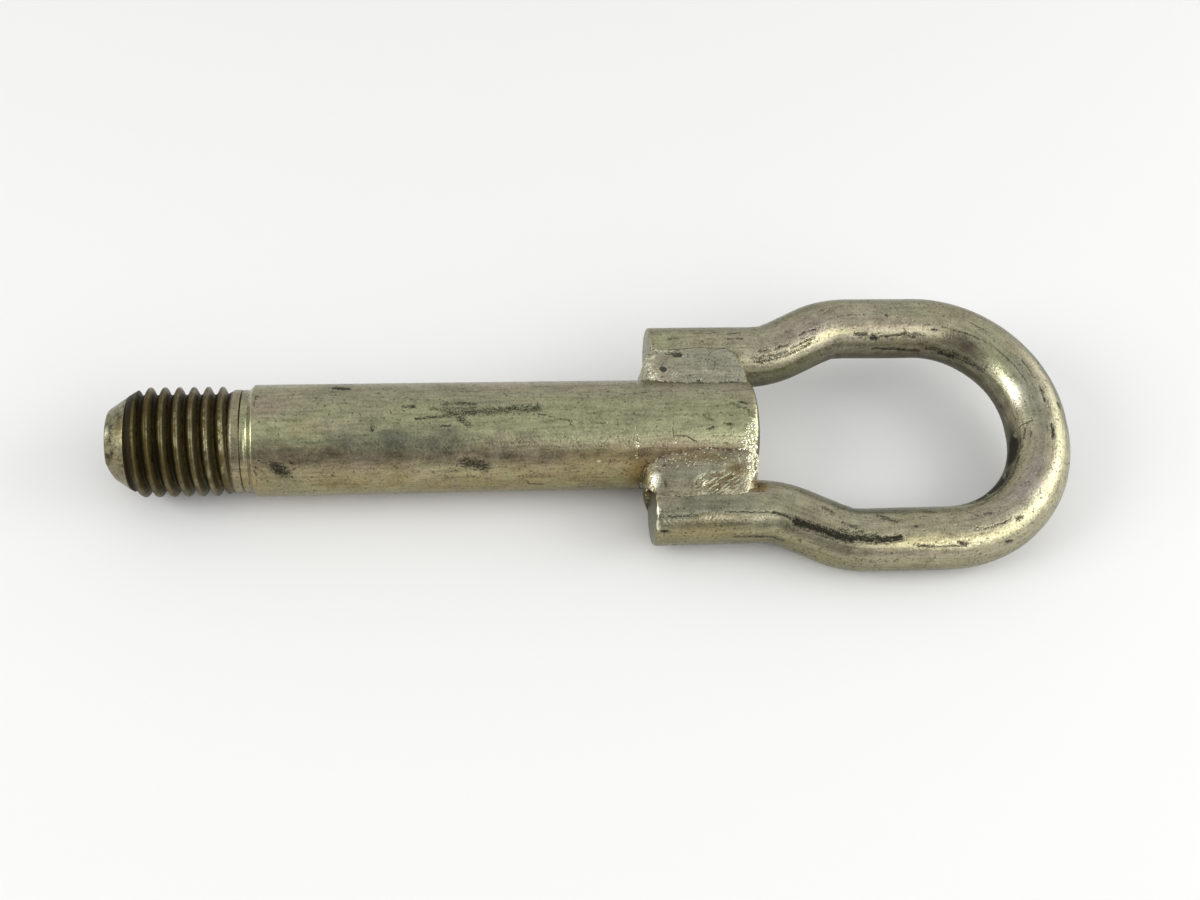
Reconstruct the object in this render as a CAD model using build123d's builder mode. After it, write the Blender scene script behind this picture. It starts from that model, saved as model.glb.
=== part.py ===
"""Screw-in tow eye: a thread-rolled shank with a bent round-bar eye welded to its back end."""
import os
from math import asin, ceil, cos, radians, sin, tan

from build123d import *

# Shank, along X from the nose to the back end
shank_diameter = 20.0
nose_face_diameter = 11.8
nose_edge_bevel = 0.4
nose_length = 3.6
nose_facet_offset = 2.5
nose_facet_tilt = 17.0
nose_facet_turn = 225.0
crest_wear = 0.26
thread_pitch = 2.5
thread_length = 19.2
thread_lead = 2.3
thread_runout = 2.3
first_crest_offset = 1.36
thread_flank_angle = 30.0
neck_diameter = 18.0
neck_length = 1.4
shoulder_length = 1.15
body_length = 89.75
body_end_bevel = 1.2

# Rolled thread form, in pitches
thread_depth_in_pitches = 0.54
thread_crest_in_pitches = 0.2
thread_seat_in_pitches = 0.08

# Eye, one bent round bar with a leg on each side of the shank
bar_diameter = 11.6
bar_end_bevel = 0.6
leg_lap = 18.1
leg_gap = 0.15
joggle_standoff = 4.7
joggle_length = 12.5
joggle_bend_radius = 12.0
arm_offset = 22.0
arm_length = 17.3
crown_flat = 1.6
near_leg_skew = 1.5

# Weld beads in the valleys between the legs and the shank
weld_root = 1.2
weld_toe_on_shank = 49.0
weld_toe_on_leg = 80.0
weld_crown = 0.5
weld_end_run = 2.0
weld_end_slope = 20.0

# Radii
shank_radius = shank_diameter / 2
nose_radius = nose_face_diameter / 2
crest_radius = shank_radius - crest_wear
root_radius = crest_radius - thread_depth_in_pitches * thread_pitch
neck_radius = neck_diameter / 2
bar_radius = bar_diameter / 2
crown_radius = arm_offset - crown_flat / 2

# Stations along X, with the nose face and the crown equally far from the origin
shank_length = nose_length + thread_length + neck_length + shoulder_length + body_length
eye_reach = joggle_standoff + joggle_length + arm_length + crown_radius + bar_radius
nose_face = -(shank_length + eye_reach) / 2
thread_start = nose_face + nose_length
thread_end = thread_start + thread_length
neck_end = thread_end + neck_length
body_start = neck_end + shoulder_length
shank_end = body_start + body_length
leg_end = shank_end - leg_lap
joggle_start = shank_end + joggle_standoff
arm_start = joggle_start + joggle_length
crown_middle = arm_start + arm_length + crown_radius

# The eye lies rolled about the shank until its near arm meets the ground beside the shank
leg_offset = shank_radius + leg_gap + bar_radius
roll = asin((shank_radius - bar_radius) / arm_offset)
axis_height = shank_radius
shank_axis = Axis((0, 0, axis_height), (1, 0, 0))
shank_plane = Plane(origin=(0, 0, axis_height), x_dir=(1, 0, 0), z_dir=(0, -1, 0))
eye_plane = Plane(origin=(0, 0, axis_height), x_dir=(1, 0, 0), z_dir=(0, -sin(roll), cos(roll)))

facet_turn = radians(nose_facet_turn)
facet_tilt = radians(nose_facet_tilt)
nose_facet = Plane(
    origin=(nose_face, nose_facet_offset * cos(facet_turn), axis_height + nose_facet_offset * sin(facet_turn)),
    z_dir=(-cos(facet_tilt), sin(facet_tilt) * cos(facet_turn), sin(facet_tilt) * sin(facet_turn)),
)


def cross_plane(station):
    """Plane across the shank: local X points to the far leg, local Y out of the eye's upper face."""
    return Plane(origin=(station, 0, axis_height), x_dir=(0, cos(roll), sin(roll)), z_dir=(1, 0, 0))


def weld_corners(side, face):
    """Corners of a bead's section: shank root, shank toe, crest, leg toe and leg root."""
    shank_toe_angle = radians(weld_toe_on_shank)
    leg_toe_angle = radians(weld_toe_on_leg)
    shank_toe = Vector(shank_radius * cos(shank_toe_angle), shank_radius * sin(shank_toe_angle))
    leg_toe = Vector(leg_offset - bar_radius * cos(leg_toe_angle), bar_radius * sin(leg_toe_angle))
    crest = (shank_toe + leg_toe) / 2 + Vector(0, weld_crown)
    shank_root = Vector(shank_radius - weld_root, weld_root)
    leg_root = Vector(leg_offset - bar_radius + weld_root, weld_root)
    corners = (shank_root, shank_toe, crest, leg_toe, leg_root)
    return [(side * corner.X, face * corner.Y) for corner in corners]


def weld_end_plane(station, lengthwise, face):
    """Plane that slopes a bead's end back from the valley floor, facing lengthwise out of the bead."""
    slope = radians(weld_end_slope)
    rise = face * sin(slope)
    z_dir = (lengthwise * cos(slope), -rise * sin(roll), rise * cos(roll))
    return Plane(origin=(station, 0, axis_height), z_dir=z_dir)


# Turned blank: nose, thread core, run-out cone, neck, shoulder and plain body
with BuildPart() as blank:
    with BuildSketch(shank_plane):
        with BuildLine():
            Polyline(
                (nose_face, 0),
                (nose_face, nose_radius),
                (thread_start, root_radius),
                (thread_end - thread_runout, root_radius),
                (thread_end, neck_radius),
                (neck_end, neck_radius),
                (body_start, shank_radius),
                (shank_end, shank_radius),
                (shank_end, 0),
                close=True,
            )
        make_face()
    revolve(axis=shank_axis)
    rims = blank.edges().filter_by(GeomType.CIRCLE).sort_by(Axis.X)
    chamfer(rims[0], nose_edge_bevel)
    chamfer(rims[-1], body_end_bevel)
    split(bisect_by=nose_facet, keep=Keep.BOTTOM)

# Thread ridge: helical turns seated in the core, trimmed by the crest, lead and run-out cones
seat_depth = thread_seat_in_pitches * thread_pitch
ridge_base = root_radius - seat_depth
ridge_top = crest_radius + seat_depth
trim_radius = ridge_base - seat_depth
flank_slope = tan(radians(thread_flank_angle))
crest_half_width = thread_crest_in_pitches * thread_pitch / 2
top_half_width = crest_half_width - (ridge_top - crest_radius) * flank_slope
base_half_width = crest_half_width + (crest_radius - ridge_base) * flank_slope
ridge_start = thread_start + first_crest_offset - 2 * thread_pitch
ridge_turns = ceil((neck_end - ridge_start) / thread_pitch)
with BuildPart() as ridge:
    for turn in range(ridge_turns):
        turn_start = ridge_start + turn * thread_pitch
        with BuildLine():
            Helix(
                pitch=thread_pitch,
                height=thread_pitch,
                radius=root_radius,
                center=(turn_start, 0, axis_height),
                direction=(1, 0, 0),
            )
        with BuildSketch(shank_plane):
            with BuildLine():
                Polyline(
                    (turn_start - base_half_width, ridge_base),
                    (turn_start - top_half_width, ridge_top),
                    (turn_start + top_half_width, ridge_top),
                    (turn_start + base_half_width, ridge_base),
                    close=True,
                )
            make_face()
        sweep(is_frenet=True)
    with BuildSketch(shank_plane):
        with BuildLine():
            Polyline(
                (thread_start - seat_depth, 0),
                (thread_start - seat_depth, trim_radius),
                (thread_start + thread_lead, crest_radius),
                (thread_end - thread_runout, crest_radius),
                (thread_end + neck_length / 2, trim_radius),
                (thread_end + neck_length / 2, 0),
                close=True,
            )
        make_face()
    revolve(axis=shank_axis, mode=Mode.INTERSECT)

with BuildPart() as threaded_shank:
    add(blank.part)
    add(ridge.part)
threaded_shank.part.label = "threaded_shank"

# Eye loop: leg, joggle, arm, crown, arm, joggle and leg of one bent bar
far_bends = [(joggle_start, leg_offset), (arm_start, arm_offset), (crown_middle, arm_offset)]
near_bends = [
    (crown_middle, -arm_offset),
    (arm_start - near_leg_skew, -arm_offset),
    (joggle_start - near_leg_skew, -leg_offset),
]
with BuildPart() as eye_loop:
    with BuildLine(eye_plane) as bar_path:
        FilletPolyline(
            (leg_end, leg_offset),
            *far_bends,
            *near_bends,
            (leg_end - near_leg_skew, -leg_offset),
            radius=[joggle_bend_radius] * 2 + [crown_radius] * 2 + [joggle_bend_radius] * 2,
        )
    with BuildSketch(Plane(bar_path.line @ 0, z_dir=bar_path.line % 0)):
        Circle(bar_radius)
    sweep(path=bar_path.line)
    cut_faces = eye_loop.faces().filter_by(GeomType.PLANE)
    chamfer(cut_faces.edges(), bar_end_bevel)
eye_loop.part.label = "eye_loop"

os.makedirs("parts", exist_ok=True)
export_step(threaded_shank.part, "parts/threaded_shank.step")
export_step(eye_loop.part, "parts/eye_loop.step")

# Weld beads: one above and one below each leg, sloped at the ends and shaped by what they join
for side_name, side, skew in (("far", 1, 0), ("near", -1, near_leg_skew)):
    for face_name, face in (("top", 1), ("under", -1)):
        shank_root, shank_toe, crest, leg_toe, leg_root = weld_corners(side, face)
        bead_start = leg_end - skew - weld_end_run
        with BuildPart() as bead:
            with BuildSketch(cross_plane(bead_start)):
                with BuildLine():
                    Line(shank_root, shank_toe)
                    ThreePointArc(shank_toe, crest, leg_toe)
                    Line(leg_toe, leg_root)
                    Line(leg_root, shank_root)
                make_face()
            extrude(amount=shank_end - bead_start)
            split(bisect_by=weld_end_plane(bead_start, -1, face), keep=Keep.BOTTOM)
            split(bisect_by=weld_end_plane(shank_end, 1, face), keep=Keep.BOTTOM)
            add(blank.part, mode=Mode.SUBTRACT)
            add(eye_loop.part, mode=Mode.SUBTRACT)
        bead.part.label = f"weld_bead_{side_name}_{face_name}"
        export_step(bead.part, f"parts/{bead.part.label}.step")
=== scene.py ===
"""Looks of a worn, yellow-plated screw-in tow eye, laid out as a Blender add-on and run as a script."""

from math import asin, cos, exp, hypot, pi, radians, sin, sqrt, tan

import bpy
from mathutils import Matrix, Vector, noise


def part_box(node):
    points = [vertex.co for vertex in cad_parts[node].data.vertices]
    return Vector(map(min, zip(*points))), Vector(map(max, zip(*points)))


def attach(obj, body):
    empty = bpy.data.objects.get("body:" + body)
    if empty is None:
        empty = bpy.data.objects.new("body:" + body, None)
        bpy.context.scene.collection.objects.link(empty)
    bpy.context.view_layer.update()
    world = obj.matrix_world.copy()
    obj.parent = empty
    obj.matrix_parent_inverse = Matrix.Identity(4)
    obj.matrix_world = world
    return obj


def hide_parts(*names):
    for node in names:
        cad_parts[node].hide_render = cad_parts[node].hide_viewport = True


bl_info = {
    "name": "Tow Eye",
    "version": (1, 0, 0),
    "blender": (4, 5, 0),
    "location": "View3D > Sidebar > Tow Eye",
    "description": "Dresses a welded tow eye with its rolled thread, bent bar, weld beads and worn plating",
    "category": "Object",
}

MM = 0.001

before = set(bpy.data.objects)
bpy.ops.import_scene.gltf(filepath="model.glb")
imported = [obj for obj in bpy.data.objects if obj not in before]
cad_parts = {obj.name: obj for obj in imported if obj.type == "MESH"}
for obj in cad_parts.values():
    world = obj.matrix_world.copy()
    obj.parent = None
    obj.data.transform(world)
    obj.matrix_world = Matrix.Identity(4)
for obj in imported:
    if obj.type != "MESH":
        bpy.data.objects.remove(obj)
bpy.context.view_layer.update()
SHANK_LOW, SHANK_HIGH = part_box("threaded_shank")
LOOP_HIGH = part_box("eye_loop")[1]
NOSE_X = SHANK_LOW.x
SHANK_END_X = SHANK_HIGH.x
SHANK_RADIUS = (SHANK_HIGH.z - SHANK_LOW.z) / 2
AXIS_HEIGHT = (SHANK_HIGH.z + SHANK_LOW.z) / 2
CROWN_X = LOOP_HIGH.x

# Scuffs and smears: along and around where each starts and ends, then its width, in millimetres and
# degrees. On the shank, along is the part's X and around goes from the top to the far side. On the bar,
# along starts at the far leg's end and around goes from the eye's upper face outwards.
SHANK_SCUFFS = (
    (-48.8, 28, -46.4, 26, 0.7),
    (-62.3, 15, -62.5, 0, 0.22),
    (-62.4, -58, -62.3, -74, 0.22),
    (-61.8, -57, -60.2, -59, 0.35),
    (-59.8, -58, -57.6, -61, 0.3),
    (-56.4, -58, -56.1, -59.5, 0.45),
    (-56.2, -76, -56.1, -77, 0.3),
    (-42.3, -24, -42.2, -28, 0.42),
    (-36.6, -3, -34.8, -3.5, 0.5),
    (-34.6, -17, -27, -13, 0.42),
    (-30.3, -25, -28.7, -24.5, 0.3),
    (-13.5, -13, -10.4, -17.5, 0.22),
    (-10.4, -17.5, -7.8, -21, 0.22),
    (-7.8, -20.5, -7.2, -28, 0.24),
    (-19, 14, -18.6, 10, 0.2),
    (1.8, 10, 6.6, 11.5, 0.2),
    (4.2, -28, 4.5, -60, 0.15),
    (10.8, -31, 10.9, -40, 0.15),
    (11.2, -38.5, 13, -39, 0.2),
    (13, -39, 14.9, -45, 0.22),
    (17, -32, 18.2, -30.5, 0.35),
    (20, -27, 21.3, -27, 0.3),
    (23.2, -3, 24.4, -5, 0.4),
    (-58.9, -62, -58.2, -66, 0.45),
    (-58.3, -66, -57.5, -69.5, 0.4),
    (-25.8, -61.5, -24.6, -65, 0.5),
    (-24.8, -65, -23.2, -67, 0.4),
    (-20, -9, -19.7, -11.5, 0.35),
    (-17.8, -7.5, -17.5, -11, 0.35),
    (-15.4, -7, -15.2, -10.5, 0.35),
    (-13.6, -5.5, -13.4, -9.5, 0.4),
    (-15.2, -90, -14.6, -96, 0.25),
    (-14.6, -95, -12.2, -97, 0.3),
    (-34, -84, -24, -80, 0.12),
)
SHANK_SMEARS = (
    (-28.5, -12, -13, -6, 1.0),
    (-59.2, -62, -57.4, -71, 1.35),
    (-26.2, -61, -22.8, -68, 1.5),
    (-30, 0, -24.5, -1, 0.7),
    (-27, -16, -25.5, -24, 0.9),
    (21.8, -5, 24.3, -11, 0.55),
    (16.5, -18, 18, -24, 0.45),
    (-21, -11, -13.2, -8, 0.8),
    (-32, -6, -20, -8, 0.5),
)
BAR_SCUFFS = (
    (8.5, 23, 13.5, 25, 0.18),
    (15, 20, 17.3, 26, 0.28),
    (14.6, 8, 17.6, 8.5, 0.3),
    (20.3, -18, 22.4, -19.5, 0.35),
    (23.2, -18.5, 25.6, -18, 0.38),
    (28.4, -12, 30, -9.5, 0.35),
    (30, -11, 32, -14, 0.3),
    (36, -3, 42, -2, 0.2),
    (34, 14, 36, 22, 0.14),
    (35.2, 8, 37.4, 18, 0.14),
    (37, 11, 39, 23, 0.14),
    (41, -40, 43, -40.5, 0.5),
    (44.4, -46, 44.9, -48, 0.8),
    (45.5, -46, 50.5, -41.5, 0.32),
    (47.1, -2, 47.4, -4, 0.4),
    (55, -22, 56.3, -22, 0.28),
    (56.5, -31, 57.5, -31, 0.32),
    (45, -71, 50, -73, 0.42),
    (50, -75, 54.5, -78, 0.5),
    (59.8, -76, 63.6, -76, 0.68),
    (63.6, -75, 70.5, -70, 0.36),
    (71.8, -58, 72.3, -66, 0.3),
    (58.5, -22, 60.5, -24.5, 0.26),
    (60.5, -24.5, 67, -20, 0.3),
    (67, -19, 80, -15.5, 0.24),
    (63.5, 2.5, 66.6, 2, 0.22),
    (76, 2, 80, 2, 0.28),
    (82, 3.5, 85, 2, 0.4),
    (90, 4, 91.2, 6.5, 0.5),
    (91, 5, 92.4, 6, 0.55),
    (85.4, 33, 86, 35, 0.4),
    (93.5, 95, 96.3, 38, 0.13),
    (96.3, 38, 95.6, 20, 0.12),
    (88.6, -27, 89.2, -55, 0.26),
    (90, -44, 92.6, -48, 0.25),
    (91, -35, 92.3, -35.5, 0.3),
    (94.4, -50, 94.8, -52, 0.42),
    (92, -55, 100, -56, 0.32),
    (103.3, -34, 103.8, -34, 0.28),
    (97, -55, 113, -47, 0.42),
    (110, 20, 111, 18.5, 0.5),
    (113.2, 51, 114, 48, 0.55),
    (112, 13, 115.6, 11, 0.22),
    (118.4, 7, 118.8, 7, 0.3),
    (114.5, -12, 116, -15, 0.32),
    (117, -12, 119, -30, 0.2),
    (120.8, 33, 121.6, 32, 0.55),
    (122, 37, 127, 36, 0.26),
    (127, 36.5, 129.5, 33.5, 0.36),
    (129.4, -1, 129.9, -2, 0.45),
    (132.8, 19, 135.5, 22, 0.85),
    (135.5, 21.5, 141, 23, 0.75),
    (141, 24, 146, 27, 1.0),
    (146, 27, 151, 30, 1.0),
    (136.5, 17, 140.5, 18.5, 0.6),
    (150.5, 27.5, 156, 23.5, 0.5),
    (156, 24, 165, 22, 0.2),
    (149.8, 44, 150.5, 37, 0.2),
    (175.2, 54, 176.1, 54, 0.45),
    (125.4, -33, 126.6, -36, 0.4),
)
BAR_SMEARS = (
    (3.4, 9, 5.4, 11, 0.42),
    (19, -31, 25, -30, 0.5),
    (26, -27, 31, -26, 0.4),
    (50.5, -42, 52.6, -46, 0.7),
    (52.4, -41, 54.8, -45, 0.6),
    (137, 16, 142, 18, 0.6),
    (140, 17, 149, 24, 0.8),
    (140.5, 2, 143, 0, 0.6),
    (145.4, -12, 147.2, -16, 0.7),
    (143, 35, 150, 37, 0.5),
    (170, 28, 176.4, 28, 0.4),
    (72, -66, 56, -70, 0.7),
    (112, 14, 119, 10, 0.35),
    (133, -12, 136, -26, 0.7),
    (152, 76, 163, 72, 0.45),
    (137, 11, 139.5, 18, 0.6),
    (139.5, 9, 142, 19, 0.65),
    (142, 11, 144.5, 22, 0.6),
    (20, -38, 30, -34, 0.45),
)

# Small round dents on the shank: along and around on the ruler, and the dent's reach, in millimetres
SHANK_DENTS = (
    (-58.7, -11.3, 0.55),
    (-58.0, -11.6, 0.65),
    (-58.4, -12.1, 0.5),
    (-25.2, -11.2, 0.5),
)

# How far the ruler runs on from a piece's end to the middle of its end face, in millimetres
FACE_RUN = 5

# Where the room is dim, seen from the part
DIM_SIDE = (-0.15, -0.93, 0.33)

# Soft lamps round the part: where each stands from the part, and its share of the lamp power
LAMPS = {
    "left_lamp": ((-0.84, -0.18, 0.52), 1.75),
    "right_lamp": ((0.84, -0.07, 0.49), 1.05),
    "corner_lamp": ((0.74, -0.45, 0.50), 0.65),
    "near_lamp": ((0.38, -0.72, 0.58), 0.5),
    "low_lamp": ((0.90, 0.30, 0.28), 0.45),
}


def panel_size(name, description, millimetres):
    """A length for the panel, given in millimetres."""
    return bpy.props.FloatProperty(
        name=name, description=description, default=millimetres * MM, unit="LENGTH")


def panel_angle(name, description, degrees):
    """An angle for the panel, given in degrees."""
    return bpy.props.FloatProperty(
        name=name, description=description, default=radians(degrees), subtype="ANGLE")


def panel_colour(name, description, colour):
    """A colour for the panel."""
    return bpy.props.FloatVectorProperty(
        name=name, description=description, default=colour, subtype="COLOR")


class ThreadSizes(bpy.types.PropertyGroup):
    """Sizes of the nose, the rolled thread, the neck and the shoulder."""

    nose_length: panel_size("Nose Length", "Cone in front of the thread", 3.6)
    nose_radius: panel_size("Nose Radius", "Flat front of the nose", 5.9)
    facet_offset: panel_size("Facet Offset", "Where the worn facet starts, from the axis", 2.5)
    facet_tilt: panel_angle("Facet Tilt", "Slope of the worn facet", 17)
    facet_turn: panel_angle("Facet Turn", "Side of the worn facet, from the far side over the top", 225)
    length: panel_size("Thread Length", "From the nose to the neck", 19.2)
    pitch: panel_size("Pitch", "From crest to crest", 2.5)
    first_crest: panel_size("First Crest", "First crest on top, behind the nose", 1.36)
    crest_wear: panel_size("Crest Wear", "Crest below the plain shank", 0.26)
    depth: panel_size("Depth", "From crest to root", 1.35)
    lead: panel_size("Lead", "Length of the cone that cuts the first turns", 2.3)
    runout: panel_size("Run-out", "Length over which the last turn fades", 2.3)
    neck_radius: panel_size("Neck Radius", "Plain neck behind the thread", 9.0)
    neck_length: panel_size("Neck Length", "Length of the neck", 1.4)
    shoulder_length: panel_size("Shoulder Length", "Cone from the neck to the body", 1.15)
    end_round: panel_size("End Round", "Rounding of the shank's back edge", 1.3)


class BarSizes(bpy.types.PropertyGroup):
    """Sizes of the bent bar that makes the eye."""

    radius: panel_size("Bar Radius", "Half the bar's thickness", 5.8)
    leg_lap: panel_size("Leg Lap", "Leg along the shank's side", 18.1)
    leg_gap: panel_size("Leg Gap", "Room between leg and shank", 0.15)
    standoff: panel_size("Joggle Standoff", "From the shank's end to the joggle", 4.7)
    joggle: panel_size("Joggle Length", "Length of the sideways step", 12.5)
    bend_radius: panel_size("Bend Radius", "Bends of the joggle", 18.0)
    crease_depth: panel_size("Crease Depth", "Pinch on the inside of a bend", 0.3)
    crease_width: panel_size("Crease Width", "How fast the pinch runs out", 1.3)
    arm_offset: panel_size("Arm Offset", "Arm from the middle of the eye", 22.0)
    crown_flat: panel_size("Crown Flat", "Straight stretch in the crown", 1.6)
    near_skew: panel_size("Near Leg Skew", "Near leg behind the far leg", 1.5)
    end_bevel: panel_size("End Bevel", "Bevel of the cut ends", 0.6)
    groove_turn: panel_angle("Groove Turn", "Die groove, from the eye's upper face outwards", 24)
    groove_width: panel_size("Groove Width", "Half width of the die groove", 0.5)
    groove_depth: panel_size("Groove Depth", "Depth of the die groove", 0.03)
    unevenness: panel_size("Unevenness", "Hammered waviness of the bar", 0.05)


class WeldSizes(bpy.types.PropertyGroup):
    """Sizes of the weld beads and their ripples."""

    shank_toe: panel_angle("Shank Toe", "Edge of the bead on the shank, from the eye's plane", 49)
    leg_toe: panel_angle("Leg Toe", "Edge of the bead on the leg, from the eye's plane", 80)
    root: panel_size("Root", "Depth of the bead into the valley", 1.2)
    crown: panel_size("Bead Crown", "Height of the bead over its toes", 0.3)
    end_run: panel_size("End Run", "Bead in front of the leg's end", 2.0)
    shank_taper: panel_size("Shank Taper", "Length over which a bead widens on the shank", 9.0)
    leg_taper: panel_size("Leg Taper", "Length over which a bead widens on the leg", 3.4)
    back_taper: panel_size("Back Taper", "Length over which a bead narrows on the leg", 5.5)
    ragged_toe: panel_angle("Ragged Toe", "How far the toes wander", 2.5)
    ripple_spacing: panel_size("Ripple Spacing", "From ripple to ripple", 0.6)
    ripple_height: panel_size("Ripple Height", "Height of the ripples", 0.05)
    nub_radius: panel_size("Rim Nub Radius", "Size of the melted drops on the shank's rim", 0.4)
    nub_count: bpy.props.IntProperty(
        name="Rim Nubs", description="Drops in each row on the rim", default=22)


class Finish(bpy.types.PropertyGroup):
    """Colours of the worn plating, the grime and the weld metal, with painted highlights and shade."""

    tan: panel_colour("Tan", "Plain passivated zinc", (0.414, 0.391, 0.272))
    green: panel_colour("Green", "Greenish passivation", (0.405, 0.407, 0.244))
    blush: panel_colour("Blush", "Pinkish passivation", (0.42, 0.35, 0.262))
    yellow: panel_colour("Yellow", "Yellow passivation", (0.43, 0.38, 0.20))
    umber: panel_colour("Umber", "Brownish band along the shank", (0.325, 0.27, 0.178))
    # Tea brown and bronze are browned plating, darkened further as painted shade low on the shank
    tea_and_low_shade: panel_colour("Tea Brown", "Browned plating low on the near side", (0.305, 0.258, 0.14))
    flux: panel_colour("Flux Gold", "Golden flux beside the welds", (0.20, 0.115, 0.025))
    bronze_and_under_shade: panel_colour("Bronze", "Browned plating under the shank", (0.268, 0.224, 0.107))
    # Drab and dull tan darken the plating as painted shade on the far and low sides; drab is also the tone of
    # the cut end faces
    drab_and_side_shade: panel_colour("Drab", "Shade-painted plating low on the sides", (0.234, 0.216, 0.125))
    dull_far_shade: panel_colour("Dull Tan", "Shade-darkened plating on the far side", (0.374, 0.354, 0.238))
    smudge: panel_colour("Smudge", "Grey handling marks", (0.18, 0.186, 0.137))
    grime: panel_colour("Grime", "Black scuffs and pits", (0.010, 0.010, 0.007))
    oil: panel_colour("Oily Brown", "Dirt in the thread roots and at the weld toes", (0.0205, 0.015, 0.005))
    flank: panel_colour("Flank Brown", "Oily film on the thread flanks", (0.098, 0.0755, 0.027))
    crest: panel_colour("Crest Olive", "Oily film on the thread crests", (0.142, 0.123, 0.066))
    rust: panel_colour("Toe Rust", "Red-brown scale at the weld toes", (0.11, 0.05, 0.03))
    # Bright metal serves as painted glints and highlights, and as bare metal at a chip on the shank
    bright: panel_colour("Bright Metal", "Worn crests and glints", (0.86, 0.84, 0.60))
    weld: panel_colour("Weld", "Plated weld metal", (0.388, 0.374, 0.274))
    soil: panel_colour("Soil", "Specks and fine lines of dirt", (0.035, 0.033, 0.024))
    honey: panel_colour("Honey", "Golden plating in front of the near weld", (0.42, 0.337, 0.173))
    nose: panel_colour("Nose Olive", "Oily film on the nose", (0.2, 0.178, 0.1))
    lilac: panel_colour("Lilac", "Lilac passivation on the crown", (0.42, 0.36, 0.345))
    sage: panel_colour("Sage", "Grey-green passivation on the crown", (0.365, 0.372, 0.285))
    # Painted shade on the far arm's outer side
    far_arm_shade: panel_colour("Khaki", "Shade-painted outer side of the far arm", (0.192, 0.178, 0.105))
    moss: panel_colour("Moss", "Green inside of the far joggle", (0.21, 0.226, 0.115))
    rose: panel_colour("Rose", "Pink top of the far joggle", (0.43, 0.352, 0.32))
    fawn: panel_colour("Fawn", "Warm top of the near joggle", (0.27, 0.226, 0.14))
    ochre: panel_colour("Ochre", "Warm top of the near leg", (0.33, 0.262, 0.13))
    # The next four are painted highlights on the crown and the near arm
    inner_crown_highlight: panel_colour("Pearl", "Highlight-painted inner side of the crown", (0.82, 0.82, 0.74))
    inner_crown_glint: panel_colour("Straw", "Highlight-painted top of the crown", (0.8, 0.8, 0.68))
    crown_top_highlight: panel_colour("Shell", "Highlight-painted pink on the crown", (0.66, 0.6, 0.52))
    near_arm_highlight: panel_colour("Lemon", "Highlight-painted yellow on the near arm", (0.72, 0.68, 0.46))
    olive: panel_colour("Olive", "Dark outer side of the crown", (0.17, 0.152, 0.09))
    peat: panel_colour("Peat", "Dark inner side of the far arm", (0.14, 0.11, 0.085))
    ground_metal: panel_colour("Ground Metal", "Grinding strokes on the near leg", (0.66, 0.57, 0.45))
    gold: panel_colour("Gold", "Golden side of the near leg", (0.33, 0.275, 0.135))
    weld_tan: panel_colour("Weld Tan", "Browned near bead", (0.29, 0.262, 0.17))
    weld_sage: panel_colour("Weld Sage", "Smooth middle of the near bead", (0.33, 0.338, 0.25))
    weld_shade: panel_colour("Weld Shade", "Dark blotches on the near bead", (0.22, 0.205, 0.13))
    weld_pale: panel_colour("Weld Pale", "Pale blotches on the far bead", (0.45, 0.435, 0.33))
    pit: panel_colour("Pit", "Pits in the beads", (0.034, 0.037, 0.027))
    # Painted highlight on the glossy drop
    blob_highlight: panel_colour("Blob", "Glossy drop on the near bead's front", (0.93, 0.91, 0.85))
    roughness: bpy.props.FloatProperty(
        name="Roughness", description="Satin of the plating", default=0.28, subtype="FACTOR")


class Stage(bpy.types.PropertyGroup):
    """Camera, floor and light."""

    camera_place: bpy.props.FloatVectorProperty(
        name="Camera Place", description="Where the camera stands", subtype="TRANSLATION",
        default=(-31.82 * MM, -156.61 * MM, 220.12 * MM))
    camera_turn: bpy.props.FloatVectorProperty(
        name="Camera Turn", description="How the camera is turned", subtype="EULER",
        default=(radians(36.355), radians(-4.771), radians(-4.765)))
    lens: bpy.props.FloatProperty(
        name="Lens", description="Focal length in millimetres", default=43.02, unit="CAMERA")
    floor: panel_colour("Floor", "Pale cloth under the part", (0.865, 0.866, 0.855))
    zenith: bpy.props.FloatProperty(name="Zenith", description="Light from straight above", default=0.655)
    walls: bpy.props.FloatProperty(name="Walls", description="Light from the sides", default=0.68)
    dim_side: bpy.props.FloatProperty(
        name="Dim Side", description="Share of light left low on the near side", default=0.4,
        subtype="FACTOR")
    far_floor: panel_colour("Far Floor", "Floor far away, as the part's sides see it", (0.42, 0.42, 0.42))
    lamp_power: bpy.props.FloatProperty(
        name="Lamp Power", description="Each soft lamp round the part", default=1.5, unit="POWER")
    lamp_width: panel_size("Lamp Width", "Width of a soft lamp", 460)
    lamp_distance: panel_size("Lamp Distance", "From the part to a soft lamp", 800)


def filleted(corners, radii, step):
    """Points along straight runs joined by arcs of the given radii at the inner corners."""
    corners = [Vector(corner) for corner in corners]
    points = [corners[0]]
    for before, corner, after, radius in zip(corners, corners[1:], corners[2:], radii):
        back = (before - corner).normalized()
        ahead = (after - corner).normalized()
        half = back.angle(ahead) / 2
        setback = radius / tan(half)
        centre = corner + (back + ahead).normalized() * (radius / sin(half))
        spoke = corner + back * setback - centre
        sweep = (pi - 2 * half) * (1 if spoke.cross(corner + ahead * setback - centre) > 0 else -1)
        pieces = max(3, int(abs(sweep) * radius / step))
        for piece in range(pieces + 1):
            turn = sweep * piece / pieces
            points.append(centre + Vector((spoke.x * cos(turn) - spoke.y * sin(turn),
                                           spoke.x * sin(turn) + spoke.y * cos(turn))))
    points.append(corners[-1])
    return points


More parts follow.
